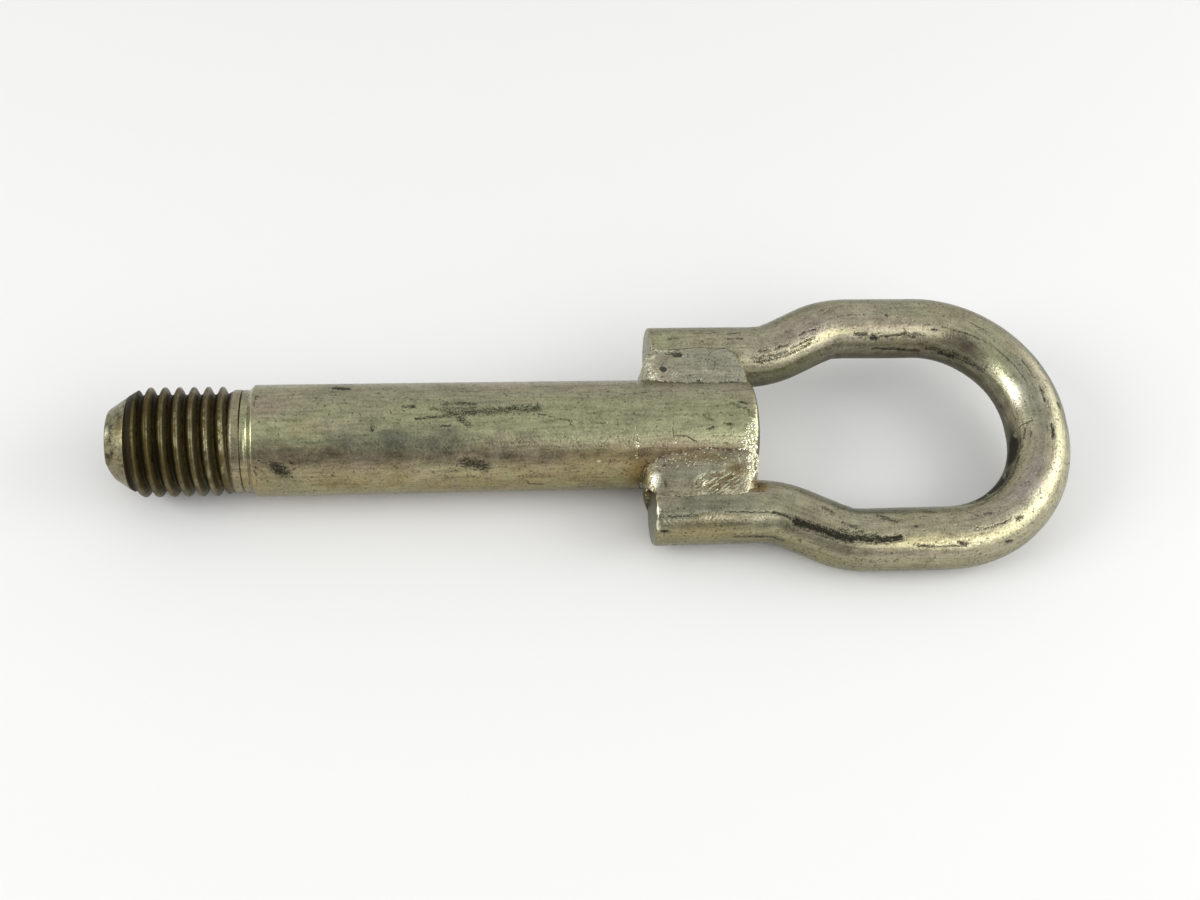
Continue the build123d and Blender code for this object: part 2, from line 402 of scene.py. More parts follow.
def walked(points, step_at):
    """The same line with points spaced by step_at(x), corners kept to within a step."""
    line = [points[0]]
    for start, end in zip(points, points[1:]):
        run = (end - start).length
        pieces = max(1, round(run / step_at((start.x + end.x) / 2)))
        line += [start.lerp(end, piece / pieces) for piece in range(1, pieces + 1) if run > 1e-7]
    return line


def ramp(value, start, end):
    """Smooth step from 0 at start to 1 at end."""
    share = min(1, max(0, (value - start) / (end - start)))
    return share * share * (3 - 2 * share)


def rounded(distance, length):
    """Height of a quarter round, from 0 at its foot to 1 after length."""
    return sqrt(max(0.0, 1 - (1 - min(1.0, max(0.0, distance / length))) ** 2))


def turn_of(spoke, around):
    """Turn of a spoke from the top of a piece, with the seam underneath."""
    return 2 * pi * (spoke / around - 0.5)


def tube(name, rings, ruler):
    """Closed mesh object through rings of points, with fans at its ends and a UV map in millimetres."""
    around = len(rings[0])
    points = [point for ring in rings for point in ring]
    faces = []
    corners = []
    for ring in range(len(rings) - 1):
        for spoke in range(around):
            following = (spoke + 1) % around
            faces.append((ring * around + spoke, (ring + 1) * around + spoke,
                          (ring + 1) * around + following, ring * around + following))
            corners += [ruler(ring, spoke), ruler(ring + 1, spoke),
                        ruler(ring + 1, spoke + 1), ruler(ring, spoke + 1)]
    for ring, beyond in ((0, -FACE_RUN), (len(rings) - 1, FACE_RUN)):
        middle = len(points)
        points.append(sum((Vector(point) for point in rings[ring]), Vector()) / around)
        for spoke in range(around):
            pair = [spoke, spoke + 1] if beyond < 0 else [spoke + 1, spoke]
            faces.append((middle, *(ring * around + edge % around for edge in pair)))
            rim = [ruler(ring, edge) for edge in pair]
            corners += [(rim[0][0] + beyond, (rim[0][1] + rim[1][1]) / 2), *rim]
    mesh = bpy.data.meshes.new(name)
    mesh.from_pydata(points, [], faces)
    layer = mesh.uv_layers.new(name="ruler")
    layer.data.foreach_set("uv", [value for corner in corners for value in corner])
    mesh.polygons.foreach_set("use_smooth", [True] * len(mesh.polygons))
    made = bpy.data.objects.new(name, mesh)
    bpy.context.scene.collection.objects.link(made)
    return made


def bake(made):
    """Turns an object's evaluated result into its plain mesh and drops its modifiers."""
    depsgraph = bpy.context.evaluated_depsgraph_get()
    mesh = bpy.data.meshes.new_from_object(
        made.evaluated_get(depsgraph), preserve_all_data_layers=True, depsgraph=depsgraph)
    made.modifiers.clear()
    mesh.name = made.name
    made.data = mesh
    return made


def dress(made, node):
    """Puts a finished piece on the part's body in place of its plain CAD node."""
    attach(made, "root")
    if node:
        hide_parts(node)


def add(tree, kind, inputs=None, **settings):
    """Adds a node, sets its properties and fills its inputs with sockets or values."""
    made = tree.nodes.new(kind)
    for name, value in settings.items():
        setattr(made, name, value)
    for key, value in (inputs or {}).items():
        if isinstance(value, bpy.types.NodeSocket):
            tree.links.new(value, made.inputs[key])
        else:
            made.inputs[key].default_value = value
    return made


def calc(tree, operation, *values):
    """Output of a Math node."""
    return add(tree, "ShaderNodeMath", dict(enumerate(values)), operation=operation).outputs[0]


def product(tree, first, *others):
    """Output of Math nodes that multiply some values."""
    for other in others:
        first = calc(tree, "MULTIPLY", first, other)
    return first


def largest(tree, first, *others):
    """Output of Math nodes that keep the largest of some values."""
    for other in others:
        first = calc(tree, "MAXIMUM", first, other)
    return first


def vector(tree, operation, *values):
    """Output of a Vector Math node."""
    made = add(tree, "ShaderNodeVectorMath", dict(enumerate(values)), operation=operation)
    return made.outputs["Value" if operation in ("DOT_PRODUCT", "LENGTH", "DISTANCE") else "Vector"]


def scaled(tree, place, factor):
    """A vector or colour times a factor."""
    return add(tree, "ShaderNodeVectorMath", {0: place, "Scale": factor}, operation="SCALE").outputs["Vector"]


def combined(tree, **axes):
    """A vector from its X, Y and Z."""
    return add(tree, "ShaderNodeCombineXYZ", axes).outputs[0]


def axes_of(tree, place):
    """X, Y and Z of a vector."""
    return add(tree, "ShaderNodeSeparateXYZ", {0: place}).outputs


def spread(tree, value, low, high, to_low=0.0, to_high=1.0, smooth=False):
    """Output of a clamped Map Range node."""
    return add(tree, "ShaderNodeMapRange", {0: value, 1: low, 2: high, 3: to_low, 4: to_high},
               interpolation_type="SMOOTHSTEP" if smooth else "LINEAR").outputs[0]


def blend(tree, share, first, second, mode="MIX"):
    """Colour output of a Mix node."""
    made = add(tree, "ShaderNodeMix", {0: share, 6: first, 7: second}, data_type="RGBA", blend_type=mode)
    return made.outputs[2]


def mottle(tree, place, size, detail=3.0, seed=0.0):
    """Value of a noise whose grains are about size millimetres."""
    shifted = vector(tree, "ADD", place, (seed * 17.0, seed * 31.0, seed * 7.0))
    return add(tree, "ShaderNodeTexNoise", {
        "Vector": shifted, "Scale": 1 / size, "Detail": detail}).outputs[0]


def rgba(colour):
    """A colour with full alpha."""
    return (*colour, 1.0)


def new_tree(kind, name, inputs, outputs):
    """A node tree with named sockets, and its group input and output nodes."""
    tree = bpy.data.node_groups.new(name, kind)
    for in_out, sockets in (("INPUT", inputs), ("OUTPUT", outputs)):
        for socket, socket_type in sockets:
            tree.interface.new_socket(name=socket, in_out=in_out, socket_type="NodeSocket" + socket_type)
    return tree, tree.nodes.new("NodeGroupInput").outputs, tree.nodes.new("NodeGroupOutput").inputs


def run_tree(made, tree, values):
    """Runs a Geometry Nodes tree on an object with the given inputs and bakes the result."""
    modifier = made.modifiers.new(tree.name, "NODES")
    identifiers = {item.name: item.identifier for item in tree.interface.items_tree if item.in_out == "INPUT"}
    modifier.node_group = tree
    for name, value in values.items():
        modifier[identifiers[name]] = value
    return bake(made)


def close_tree(tree, given, result, geometry):
    """Ends a Geometry Nodes tree with real geometry and its material."""
    real = add(tree, "GeometryNodeRealizeInstances", {"Geometry": geometry}).outputs[0]
    painted = add(tree, "GeometryNodeSetMaterial", {
        "Geometry": real, "Material": given["Material"]}).outputs[0]
    tree.links.new(painted, result["Geometry"])


def keep_value(tree, geometry, name, value):
    """Keeps a value on the mesh's points for its material."""
    return add(tree, "GeometryNodeStoreNamedAttribute", {
        "Geometry": geometry, "Name": name, "Value": value}, data_type="FLOAT", domain="POINT").outputs[0]


def rolled_thread_tree():
    """Raises a right-hand thread on a turned core along X, and keeps its height for the dirt."""
    tree, given, result = new_tree("GeometryNodeTree", "Rolled Thread", (
        ("Geometry", "Geometry"), ("Axis Height", "Float"), ("Start", "Float"), ("End", "Float"),
        ("First Crest", "Float"), ("Pitch", "Float"), ("Root Radius", "Float"), ("Depth", "Float"),
        ("Lead", "Float"), ("Run-out", "Float"), ("Material", "Material")), (("Geometry", "Geometry"),))
    place = add(tree, "GeometryNodeInputPosition").outputs[0]
    axes = axes_of(tree, place)
    rise = calc(tree, "SUBTRACT", axes["Z"], given["Axis Height"])
    spoke = combined(tree, Y=axes["Y"], Z=rise)
    radius = vector(tree, "LENGTH", spoke)
    turns = calc(tree, "DIVIDE", calc(tree, "ARCTAN2", product(tree, axes["Y"], -1.0), rise), 2 * pi)
    along = calc(tree, "DIVIDE", calc(tree, "SUBTRACT", axes["X"], given["First Crest"]), given["Pitch"])
    phase = calc(tree, "FRACT", calc(tree, "ADD", calc(tree, "SUBTRACT", along, turns), 0.5))
    from_crest = calc(tree, "ABSOLUTE", calc(tree, "SUBTRACT", phase, 0.5))
    ridge = spread(tree, from_crest, 0.045, 0.445, 1.0, 0.0, smooth=True)
    lead_end = calc(tree, "ADD", given["Start"], given["Lead"])
    lead = spread(tree, axes["X"], given["Start"], lead_end)
    fade_start = calc(tree, "SUBTRACT", given["End"], given["Run-out"])
    fade = spread(tree, axes["X"], fade_start, given["End"], 1.0, 0.0)
    height = calc(tree, "MINIMUM", ridge, calc(tree, "MINIMUM", lead, fade))
    reach = calc(tree, "MULTIPLY_ADD", height, given["Depth"], given["Root Radius"])
    grown = calc(tree, "DIVIDE", largest(tree, reach, radius), largest(tree, radius, 1e-6))
    in_thread = product(tree, calc(tree, "GREATER_THAN", axes["X"], given["Start"]),
                        calc(tree, "LESS_THAN", axes["X"], given["End"]))
    raised = vector(tree, "MULTIPLY", spoke, combined(tree, X=1.0, Y=grown, Z=grown))
    base = combined(tree, X=axes["X"], Z=given["Axis Height"])
    kept = given["Geometry"]
    side = calc(tree, "SUBTRACT", phase, 0.5)
    for name, value in (("thread_height", height), ("thread_side", side), ("thread_zone", in_thread)):
        kept = keep_value(tree, kept, name, value)
    moved = add(tree, "GeometryNodeSetPosition", {
        "Geometry": kept, "Selection": calc(tree, "GREATER_THAN", in_thread, 0.5),
        "Position": vector(tree, "ADD", base, raised)}).outputs[0]
    close_tree(tree, given, result, moved)
    return tree


def bent_bar_tree():
    """Bends a straight bar along a flat path, then rolls the whole eye about the shank's axis."""
    tree, given, result = new_tree("GeometryNodeTree", "Bent Bar", (
        ("Geometry", "Geometry"), ("Path", "Object"), ("Roll", "Float"), ("Axis Height", "Float"),
        ("Material", "Material")), (("Geometry", "Geometry"),))
    path = add(tree, "GeometryNodeObjectInfo", {"Object": given["Path"]}).outputs["Geometry"]
    place = add(tree, "GeometryNodeInputPosition").outputs[0]
    axes = axes_of(tree, place)
    sample = add(tree, "GeometryNodeSampleCurve", {
        "Curves": path, "Length": axes["X"]}, mode="LENGTH").outputs
    across = vector(tree, "CROSS_PRODUCT", (0.0, 0.0, 1.0), sample["Tangent"])
    outward = vector(tree, "NORMALIZE", across)
    sideways = scaled(tree, outward, axes["Y"])
    upward = combined(tree, Z=axes["Z"])
    flat = vector(tree, "ADD", vector(tree, "ADD", sample["Position"], sideways), upward)
    rolled = add(tree, "ShaderNodeVectorRotate", {"Vector": flat, "Angle": given["Roll"]},
                 rotation_type="X_AXIS").outputs[0]
    raised = vector(tree, "ADD", rolled, combined(tree, Z=given["Axis Height"]))
    moved = add(tree, "GeometryNodeSetPosition", {
        "Geometry": given["Geometry"], "Position": raised}).outputs[0]
    close_tree(tree, given, result, moved)
    return tree


def melted_drop(tree, radius):
    """A smooth drop, marked so that the weld's material paints it bright, as a painted glint."""
    ball = add(tree, "GeometryNodeMeshIcoSphere", {"Radius": radius, "Subdivisions": 2}).outputs[0]
    smooth = add(tree, "GeometryNodeSetShadeSmooth", {"Geometry": ball}).outputs[0]
    return keep_value(tree, keep_value(tree, smooth, "across", 0.5), "ripple", 1.2)


def weld_ripple_tree():
    """Lifts crescent ripples and a little roughness on a bead's surface."""
    tree, given, result = new_tree("GeometryNodeTree", "Weld Ripples", (
        ("Geometry", "Geometry"), ("Spacing", "Float"), ("Height", "Float"), ("Bow", "Float"),
        ("Calm Until", "Float"), ("Shine", "Float"), ("Seed", "Float"), ("Drops From", "Float"),
        ("Drop Density", "Float"), ("Drop Radius", "Float"), ("Material", "Material")),
        (("Geometry", "Geometry"),))
    place = add(tree, "GeometryNodeInputPosition").outputs[0]
    axes = axes_of(tree, place)
    across = add(tree, "GeometryNodeInputNamedAttribute", {"Name": "across"}, data_type="FLOAT").outputs[0]
    from_middle = calc(tree, "SUBTRACT", across, 0.5)
    bow = product(tree, from_middle, from_middle, given["Bow"])
    wander, rough = [add(tree, "ShaderNodeTexNoise", {
        "Vector": place, "W": given["Seed"], "Scale": scale, "Detail": detail},
        noise_dimensions="4D").outputs[0] for scale, detail in ((420.0, 2.0), (900.0, 3.0))]
    along = calc(tree, "DIVIDE", calc(tree, "ADD", axes["X"], bow), given["Spacing"])
    swing = calc(tree, "SINE", product(tree, calc(tree, "ADD", along, wander), pi))
    wave = calc(tree, "POWER", calc(tree, "ABSOLUTE", swing), 0.6)
    stirred = spread(tree, axes["X"], given["Calm Until"],
                     calc(tree, "ADD", given["Calm Until"], 4 * MM), 0.12, 1.0, smooth=True)
    inside = spread(tree, calc(tree, "ABSOLUTE", from_middle), 0.5, 0.3, 0.0, 1.0, smooth=True)
    lift = calc(tree, "ADD", product(tree, wave, stirred, inside), product(tree, rough, 0.5))
    lift = product(tree, lift, given["Height"])
    normal = add(tree, "GeometryNodeInputNormal").outputs[0]
    offset = scaled(tree, normal, lift)
    # Marks the ripple crests, where the weld's material paints glints
    shine = product(tree, spread(tree, wave, 0.75, 1.0), product(tree, stirred, inside))
    kept = keep_value(tree, given["Geometry"], "ripple", product(tree, shine, given["Shine"]))
    moved = add(tree, "GeometryNodeSetPosition", {
        "Geometry": kept, "Selection": calc(tree, "GREATER_THAN", across, 0.0),
        "Offset": offset}).outputs[0]
    from_row = calc(tree, "ABSOLUTE", calc(tree, "SUBTRACT", across, 0.36))
    melted = product(tree, calc(tree, "GREATER_THAN", axes["X"], given["Drops From"]),
                     spread(tree, from_row, 0.28, 0.4, 1.0, 0.0))
    spots = add(tree, "GeometryNodeDistributePointsOnFaces", {
        "Mesh": moved, "Density": product(tree, melted, given["Drop Density"]), "Seed": 11}).outputs
    size = add(tree, "FunctionNodeRandomValue", {"Min": (0.6, 0.5, 0.3), "Max": (1.4, 1.1, 0.65), "Seed": 12},
               data_type="FLOAT_VECTOR").outputs[0]
    drops = add(tree, "GeometryNodeInstanceOnPoints", {
        "Points": spots["Points"], "Instance": melted_drop(tree, given["Drop Radius"]),
        "Rotation": spots["Rotation"], "Scale": size}).outputs[0]
    joined = add(tree, "GeometryNodeJoinGeometry", {0: moved})
    tree.links.new(drops, joined.inputs[0])
    close_tree(tree, given, result, joined.outputs[0])
    return tree


def rim_nub_tree():
    """Lays rows of melted nubs round a part of the shank's back rim."""
    tree, given, result = new_tree("GeometryNodeTree", "Rim Nubs", (
        ("Geometry", "Geometry"), ("Count", "Int"), ("Rows", "Int"), ("Radius", "Float"),
        ("Axis Height", "Float"), ("Rim X", "Float"), ("Row Step", "Float"), ("Nub Radius", "Float"),
        ("From", "Float"), ("To", "Float"), ("Seed", "Int"), ("Material", "Material")),
        (("Geometry", "Geometry"),))
    total = product(tree, given["Count"], given["Rows"])
    points = add(tree, "GeometryNodePoints", {"Count": total}).outputs[0]
    index = add(tree, "GeometryNodeInputIndex").outputs[0]
    row = calc(tree, "FLOOR", calc(tree, "DIVIDE", index, given["Count"]))
    step = calc(tree, "DIVIDE", calc(tree, "MODULO", index, given["Count"]), given["Count"])
    jitter = add(tree, "FunctionNodeRandomValue", {
        "Min": (-1.0,) * 3, "Max": (1.0,) * 3, "Seed": given["Seed"]}, data_type="FLOAT_VECTOR").outputs[0]
    shake = axes_of(tree, jitter)
    fan = calc(tree, "SUBTRACT", given["To"], given["From"])
    even = calc(tree, "MULTIPLY_ADD", step, fan, given["From"])
    turn = calc(tree, "ADD", even, product(tree, shake["X"], 0.06))
    inward = product(tree, given["Row Step"], calc(tree, "MULTIPLY_ADD", shake["Y"], 0.4, row))
    spot = combined(
        tree,
        X=calc(tree, "SUBTRACT", given["Rim X"], inward),
        Y=product(tree, given["Radius"], calc(tree, "SINE", turn)),
        Z=calc(tree, "MULTIPLY_ADD", given["Radius"], calc(tree, "COSINE", turn), given["Axis Height"]),
    )
    placed = add(tree, "GeometryNodeSetPosition", {"Geometry": points, "Position": spot}).outputs[0]
    nub = melted_drop(tree, given["Nub Radius"])
    lean = combined(tree, X=product(tree, turn, -1.0))
    begin = calc(tree, "MULTIPLY_ADD", row, -0.1, given["To"])
    grown = spread(tree, turn, begin, calc(tree, "SUBTRACT", begin, 0.3), 0.2, 1.0)
    size = product(tree, calc(tree, "MULTIPLY_ADD", shake["Z"], 0.45, 0.95), grown)
    flat = combined(tree, X=size, Y=product(tree, size, 0.75), Z=product(tree, size, 0.42))
    nubs = add(tree, "GeometryNodeInstanceOnPoints", {
        "Points": placed, "Instance": nub, "Rotation": lean, "Scale": flat}).outputs[0]
    close_tree(tree, given, result, nubs)
    return tree


def scuff_group():
    """Mask of one straight scuff with soft ends, on a surface measured in millimetres."""
    tree, given, result = new_tree("ShaderNodeTree", "Scuff", (
        ("Place", "Vector"), ("From", "Vector"), ("To", "Vector"), ("Width", "Float")), (("Mask", "Float"),))
    run = vector(tree, "SUBTRACT", given["To"], given["From"])
    reach = vector(tree, "SUBTRACT", given["Place"], given["From"])
    share = calc(tree, "DIVIDE", vector(tree, "DOT_PRODUCT", reach, run),
                 vector(tree, "DOT_PRODUCT", run, run))
    share = add(tree, "ShaderNodeClamp", {"Value": share}).outputs[0]
    nearest = scaled(tree, run, share)
    off = vector(tree, "LENGTH", vector(tree, "SUBTRACT", reach, nearest))
    core = product(tree, given["Width"], 0.3)
    edge = product(tree, given["Width"], 1.5)
    tree.links.new(spread(tree, off, core, edge, 1.0, 0.0), result["Mask"])
    return tree


def plating_group():
    """Passivated zinc: drifting tints, fine mottling, drawn streaks, specks, satin and a little height."""
    tree, given, result = new_tree("ShaderNodeTree", "Passivated Zinc", (
        ("Place", "Vector"), ("Straight", "Vector"), ("Ground", "Color"), ("Green", "Color"),
        ("Blush", "Color"), ("Drift", "Float"), ("Satin", "Float")), (
        ("Color", "Color"), ("Shade", "Float"), ("Soil", "Float"), ("Roughness", "Float"),
        ("Height", "Float")))
    place = given["Place"]
    green = spread(tree, mottle(tree, place, 11.0), 0.46, 0.62, smooth=True)
    blush = spread(tree, mottle(tree, place, 8.0, seed=1.0), 0.5, 0.66, smooth=True)
    colour = blend(tree, product(tree, green, given["Drift"]), given["Ground"], given["Green"])
    colour = blend(tree, product(tree, blush, given["Drift"]), colour, given["Blush"])
    cloud = mottle(tree, place, 2.2, 4.0, seed=2.0)
    grain = mottle(tree, place, 0.4, 3.0, seed=3.0)
    drawn = vector(tree, "MULTIPLY", given["Straight"], (0.1, 1.0, 1.0))
    streak = mottle(tree, drawn, 0.55, 4.0, seed=14.0)
    shade = spread(tree, cloud, 0.3, 0.7, -0.14, 0.14)
    shade = calc(tree, "ADD", shade, spread(tree, grain, 0.25, 0.75, -0.27, 0.27))
    shade = calc(tree, "ADD", shade, spread(tree, streak, 0.3, 0.7, -0.2, 0.2))
    shade = calc(tree, "ADD", shade, 1.0)
    tree.links.new(scaled(tree, colour, shade), result["Color"])
    tree.links.new(shade, result["Shade"])
    specks = spread(tree, mottle(tree, place, 0.6, 5.0, seed=4.0), 0.6, 0.67)
    lines = spread(tree, streak, 0.66, 0.74, 0.0, 0.55)
    soil = largest(tree, product(tree, specks, 0.7), lines)
    tree.links.new(soil, result["Soil"])
    rough = calc(tree, "ADD", given["Satin"], spread(tree, cloud, 0.3, 0.7, -0.05, 0.09))
    tree.links.new(calc(tree, "MULTIPLY_ADD", soil, 0.2, rough), result["Roughness"])
    relief = calc(tree, "MULTIPLY_ADD", grain, 0.9, calc(tree, "MULTIPLY_ADD", streak, 0.6, cloud))
    tree.links.new(calc(tree, "MULTIPLY_ADD", soil, -0.6, relief), result["Height"])
    return tree


class Paint:
    """A material under construction: its colour, roughness and height so far, and the places they share."""

    def __init__(self, name, finish, groups, radius=None):
        self.material = bpy.data.materials.new(name)
        self.material.use_nodes = True
        self.tree = tree = self.material.node_tree
        tree.nodes.clear()
        self.finish = finish
        self.scuff, self.plating = groups
        self.radius = radius
        self.place = scaled(tree, add(tree, "ShaderNodeTexCoord").outputs["Object"], 1 / MM)
        self.ruler = add(tree, "ShaderNodeUVMap", uv_map="ruler").outputs[0]
        self.along, self.around = axes_of(tree, self.ruler)[0:2]
        self.straight = self.straightened() if radius else self.place
        shake = add(tree, "ShaderNodeTexNoise", {
            "Vector": self.place, "Scale": 1 / 0.8, "Detail": 4.0}).outputs["Color"]
        shake = vector(tree, "SUBTRACT", shake, (0.5, 0.5, 0.5))
        shake = vector(tree, "MULTIPLY", shake, (0.9, 0.7, 0.0))
        self.ragged = vector(tree, "ADD", self.ruler, shake)
        drawn = vector(tree, "MULTIPLY", self.straight, (0.25, 1.0, 1.0))
        self.torn = calc(tree, "SUBTRACT", mottle(tree, drawn, 0.24, 3.0, seed=15.0), 0.5)
        self.grain = calc(tree, "SUBTRACT", mottle(tree, self.place, 0.26, 2.0, seed=5.0), 0.5)

    def straightened(self):
        """Places on the bar as if it were straight, so that drawn streaks follow its bends."""
        turn = calc(self.tree, "DIVIDE", self.around, self.radius)
        side = product(self.tree, calc(self.tree, "SINE", turn), self.radius)
        up = product(self.tree, calc(self.tree, "COSINE", turn), self.radius)
        return combined(self.tree, X=self.along, Y=side, Z=up)

    def attribute(self, name):
        """A value kept on the mesh."""
        return add(self.tree, "ShaderNodeAttribute", attribute_name=name).outputs["Fac"]

    def lay_plating(self, ground, drift):
        """Starts the finish with plating over a ground colour."""
        finish = self.finish
        made = add(self.tree, "ShaderNodeGroup", {
            "Place": self.place, "Straight": self.straight, "Ground": ground, "Green": rgba(finish.green),
            "Blush": rgba(finish.blush), "Drift": drift, "Satin": finish.roughness},
            node_tree=self.plating).outputs
        self.colour = made["Color"]
        self.shade = made["Shade"]
        self.soil = made["Soil"]
        self.rough = made["Roughness"]
        self.height = made["Height"]

    def scuffs(self, marks, least, gain):
        """How near the surface is to any mark of a list, with the wider marks the heavier."""
        masks = []
        for start, start_turn, end, end_turn, width in marks:
            mask = add(self.tree, "ShaderNodeGroup", {
                "Place": self.ragged, "From": (start, radians(start_turn) * self.radius, 0.0),
                "To": (end, radians(end_turn) * self.radius, 0.0), "Width": width},
                node_tree=self.scuff).outputs[0]
            masks.append(product(self.tree, mask, least + gain * width))
        return largest(self.tree, *masks)

    def torn_scuffs(self, scuffs, smears):
        """Black scuffs with torn edges and thinner, grainy smears."""
        tree = self.tree
        solid = calc(tree, "MULTIPLY_ADD", self.torn, 1.0, self.scuffs(scuffs, 0.6, 0.5))
        solid = spread(tree, calc(tree, "MULTIPLY_ADD", self.grain, 1.1, solid), 0.28, 0.95, 0.0, 0.95)
        thin = calc(tree, "MULTIPLY_ADD", self.torn, 1.2, self.scuffs(smears, 0.75, 0.25))
        thin = spread(tree, calc(tree, "MULTIPLY_ADD", self.grain, 1.9, thin), 0.4, 1.15, 0.0, 0.88)
        return largest(tree, solid, thin)

    def patch(self, along, around, length, width, soft):
        """Mask of a soft oval patch at a place on the ruler, in millimetres."""
        off = vector(self.tree, "SUBTRACT", self.ragged, (along, around, 0.0))
        off = vector(self.tree, "LENGTH", vector(self.tree, "MULTIPLY", off, (2 / length, 2 / width, 0.0)))
        return spread(self.tree, off, soft, 1.0, 1.0, 0.0, smooth=True)

    def ring(self, along, around, radius, width):
        """Mask of a small ring at a place on the ruler, in millimetres."""
        off = vector(self.tree, "DISTANCE", self.ragged, (along, around, 0.0))
        off = calc(self.tree, "ABSOLUTE", calc(self.tree, "SUBTRACT", off, radius))
        return spread(self.tree, off, width * 0.5, width * 1.5, 1.0, 0.0)

    def collar(self, along, full, faded):
        """Mask of a band right round the piece, full and then faded so far to either side of along."""
        off = calc(self.tree, "ABSOLUTE", calc(self.tree, "SUBTRACT", self.along, along))
        return spread(self.tree, off, full, faded, 1.0, 0.0)

    def lengthwise(self, start, end, low=0.0, high=1.0, smooth=False):
        """Ramp along the piece between two places on the ruler."""
        return spread(self.tree, self.along, start, end, low, high, smooth)

    def turned(self, start, end, low, high, smooth=False):
        """Ramp round the piece between two turns in degrees."""
        return spread(self.tree, self.around, radians(start) * self.radius, radians(end) * self.radius,
                      low, high, smooth)

    def blotches(self, size, detail, seed, low, high):
        """Mask of blotches of about size millimetres, between two levels of a noise."""
        return spread(self.tree, mottle(self.tree, self.place, size, detail, seed), low, high)

    def strokes(self, slant, seed):
        """Mask of short strokes laid at a slant to the bar, in degrees."""
        slanted = add(self.tree, "ShaderNodeMapping", {
            "Vector": self.ruler, "Rotation": (0.0, 0.0, radians(-slant)), "Scale": (2.4, 0.45, 1.0)},
            vector_type="TEXTURE").outputs[0]
        return spread(self.tree, mottle(self.tree, slanted, 0.9, 2.0, seed), 0.48, 0.56)

    def stain(self, mask, share, tint):
        """Lays a colour over the rest where a mask says, with the plating's grain in it."""
        grained = scaled(self.tree, tuple(tint), self.shade)
        self.colour = blend(self.tree, product(self.tree, mask, share), self.colour, grained)

    def patches(self, rows):
        """Stains oval patches one over the other: where and how large, how soft, then share and colour."""
        for *oval, share, tint in rows:
            self.stain(self.patch(*oval), share, tint)

    def roughen(self, mask, gain):
        """Roughens the surface where a mask says, or polishes it with a gain below 0."""
        self.rough = calc(self.tree, "MULTIPLY_ADD", mask, gain, self.rough)

    def lift(self, mask, gain):
        """Lifts the surface where a mask says, or sinks it with a gain below 0."""
        self.height = calc(self.tree, "MULTIPLY_ADD", mask, gain, self.height)

    def close(self, soiled, distance):
        """Ends the material in one shader, with soil over the colour and the height as bumps."""
        specks = product(self.tree, self.soil, 0.9)
        colour = blend(self.tree, specks, self.colour, rgba(self.finish.soil))
        bump = add(self.tree, "ShaderNodeBump", {
            "Height": self.height, "Strength": 1.0, "Distance": distance}).outputs[0]
        shader = add(self.tree, "ShaderNodeBsdfPrincipled", {
            "Base Color": colour, "Roughness": self.rough, "Normal": bump,
            "Metallic": spread(self.tree, soiled, 0.0, 1.0, 1.0, 0.3), "Specular IOR Level": 0.06}).outputs[0]
        self.tree.links.new(shader, add(self.tree, "ShaderNodeOutputMaterial").inputs["Surface"])
        return self.material


def toned(tree, value, stops):
    """Colour of a ramp through stops of position and colour."""
    made = add(tree, "ShaderNodeValToRGB", {0: value})
    elements = made.color_ramp.elements
    for number, (spot, colour) in enumerate(stops):
        stop = elements[number] if number < 2 else elements.new(spot)
        stop.position = spot
        stop.color = rgba(colour)
    return made.outputs[0]


def oily_thread(paint, worn, start, end):
    """Lays the dirty film over the thread, wiped thin on its crests and lighter as painted light on the
    flanks facing the neck, and gives the mask of its oil.
    """
    tree, finish = paint.tree, paint.finish
    first_turn = paint.lengthwise(start + 0.8, start + 2.4, 0.3, 0.0)
    crest = calc(tree, "SUBTRACT", paint.attribute("thread_height"), first_turn)
    crest = calc(tree, "MULTIPLY_ADD", calc(tree, "SUBTRACT", worn, 0.5), 1.4, crest)
    crest = calc(tree, "MULTIPLY_ADD", paint.grain, 0.7, crest)
    crest = calc(tree, "SUBTRACT", crest, spread(tree, paint.around, -3.5, 2.5, 0.0, 0.25))
    caked = product(tree, paint.patch(start + 5, -10.0, 14, 12, 0.1), 0.55)
    crest = calc(tree, "SUBTRACT", crest, caked)
    side = paint.attribute("thread_side")
    # Painted light: the flanks that face the neck are lighter, where the light falls on them
    lit = product(tree, spread(tree, side, -0.05, 0.1, 0.0, 0.65), spread(tree, side, 0.5, 0.28, 0.35, 1.0),
                  paint.lengthwise(start + 0.6, start + 2.0))
    wiped = calc(tree, "ADD", crest, lit)
    wiped = calc(tree, "ADD", wiped, paint.lengthwise(start + 6, end - 5, 0.0, 0.26))
    film = toned(tree, calc(tree, "DIVIDE", wiped, 1.6), (
        (0.0, finish.oil), (0.22, finish.oil), (0.6, finish.flank), (0.8, finish.flank),
        (0.96, finish.crest)))
    bare = product(tree, spread(tree, crest, 0.9, 1.2), paint.lengthwise(start + 3, end - 4, 0.0, 0.75))
    zone = product(tree, paint.attribute("thread_zone"), paint.lengthwise(end - 1.5, end - 0.9, 1.0, 0.0))
    film = blend(tree, bare, film, paint.colour)
    paint.colour = blend(tree, zone, paint.colour, film)
    return product(tree, spread(tree, calc(tree, "ADD", wiped, bare), 0.3, 1.5, 1.0, 0.3), zone)


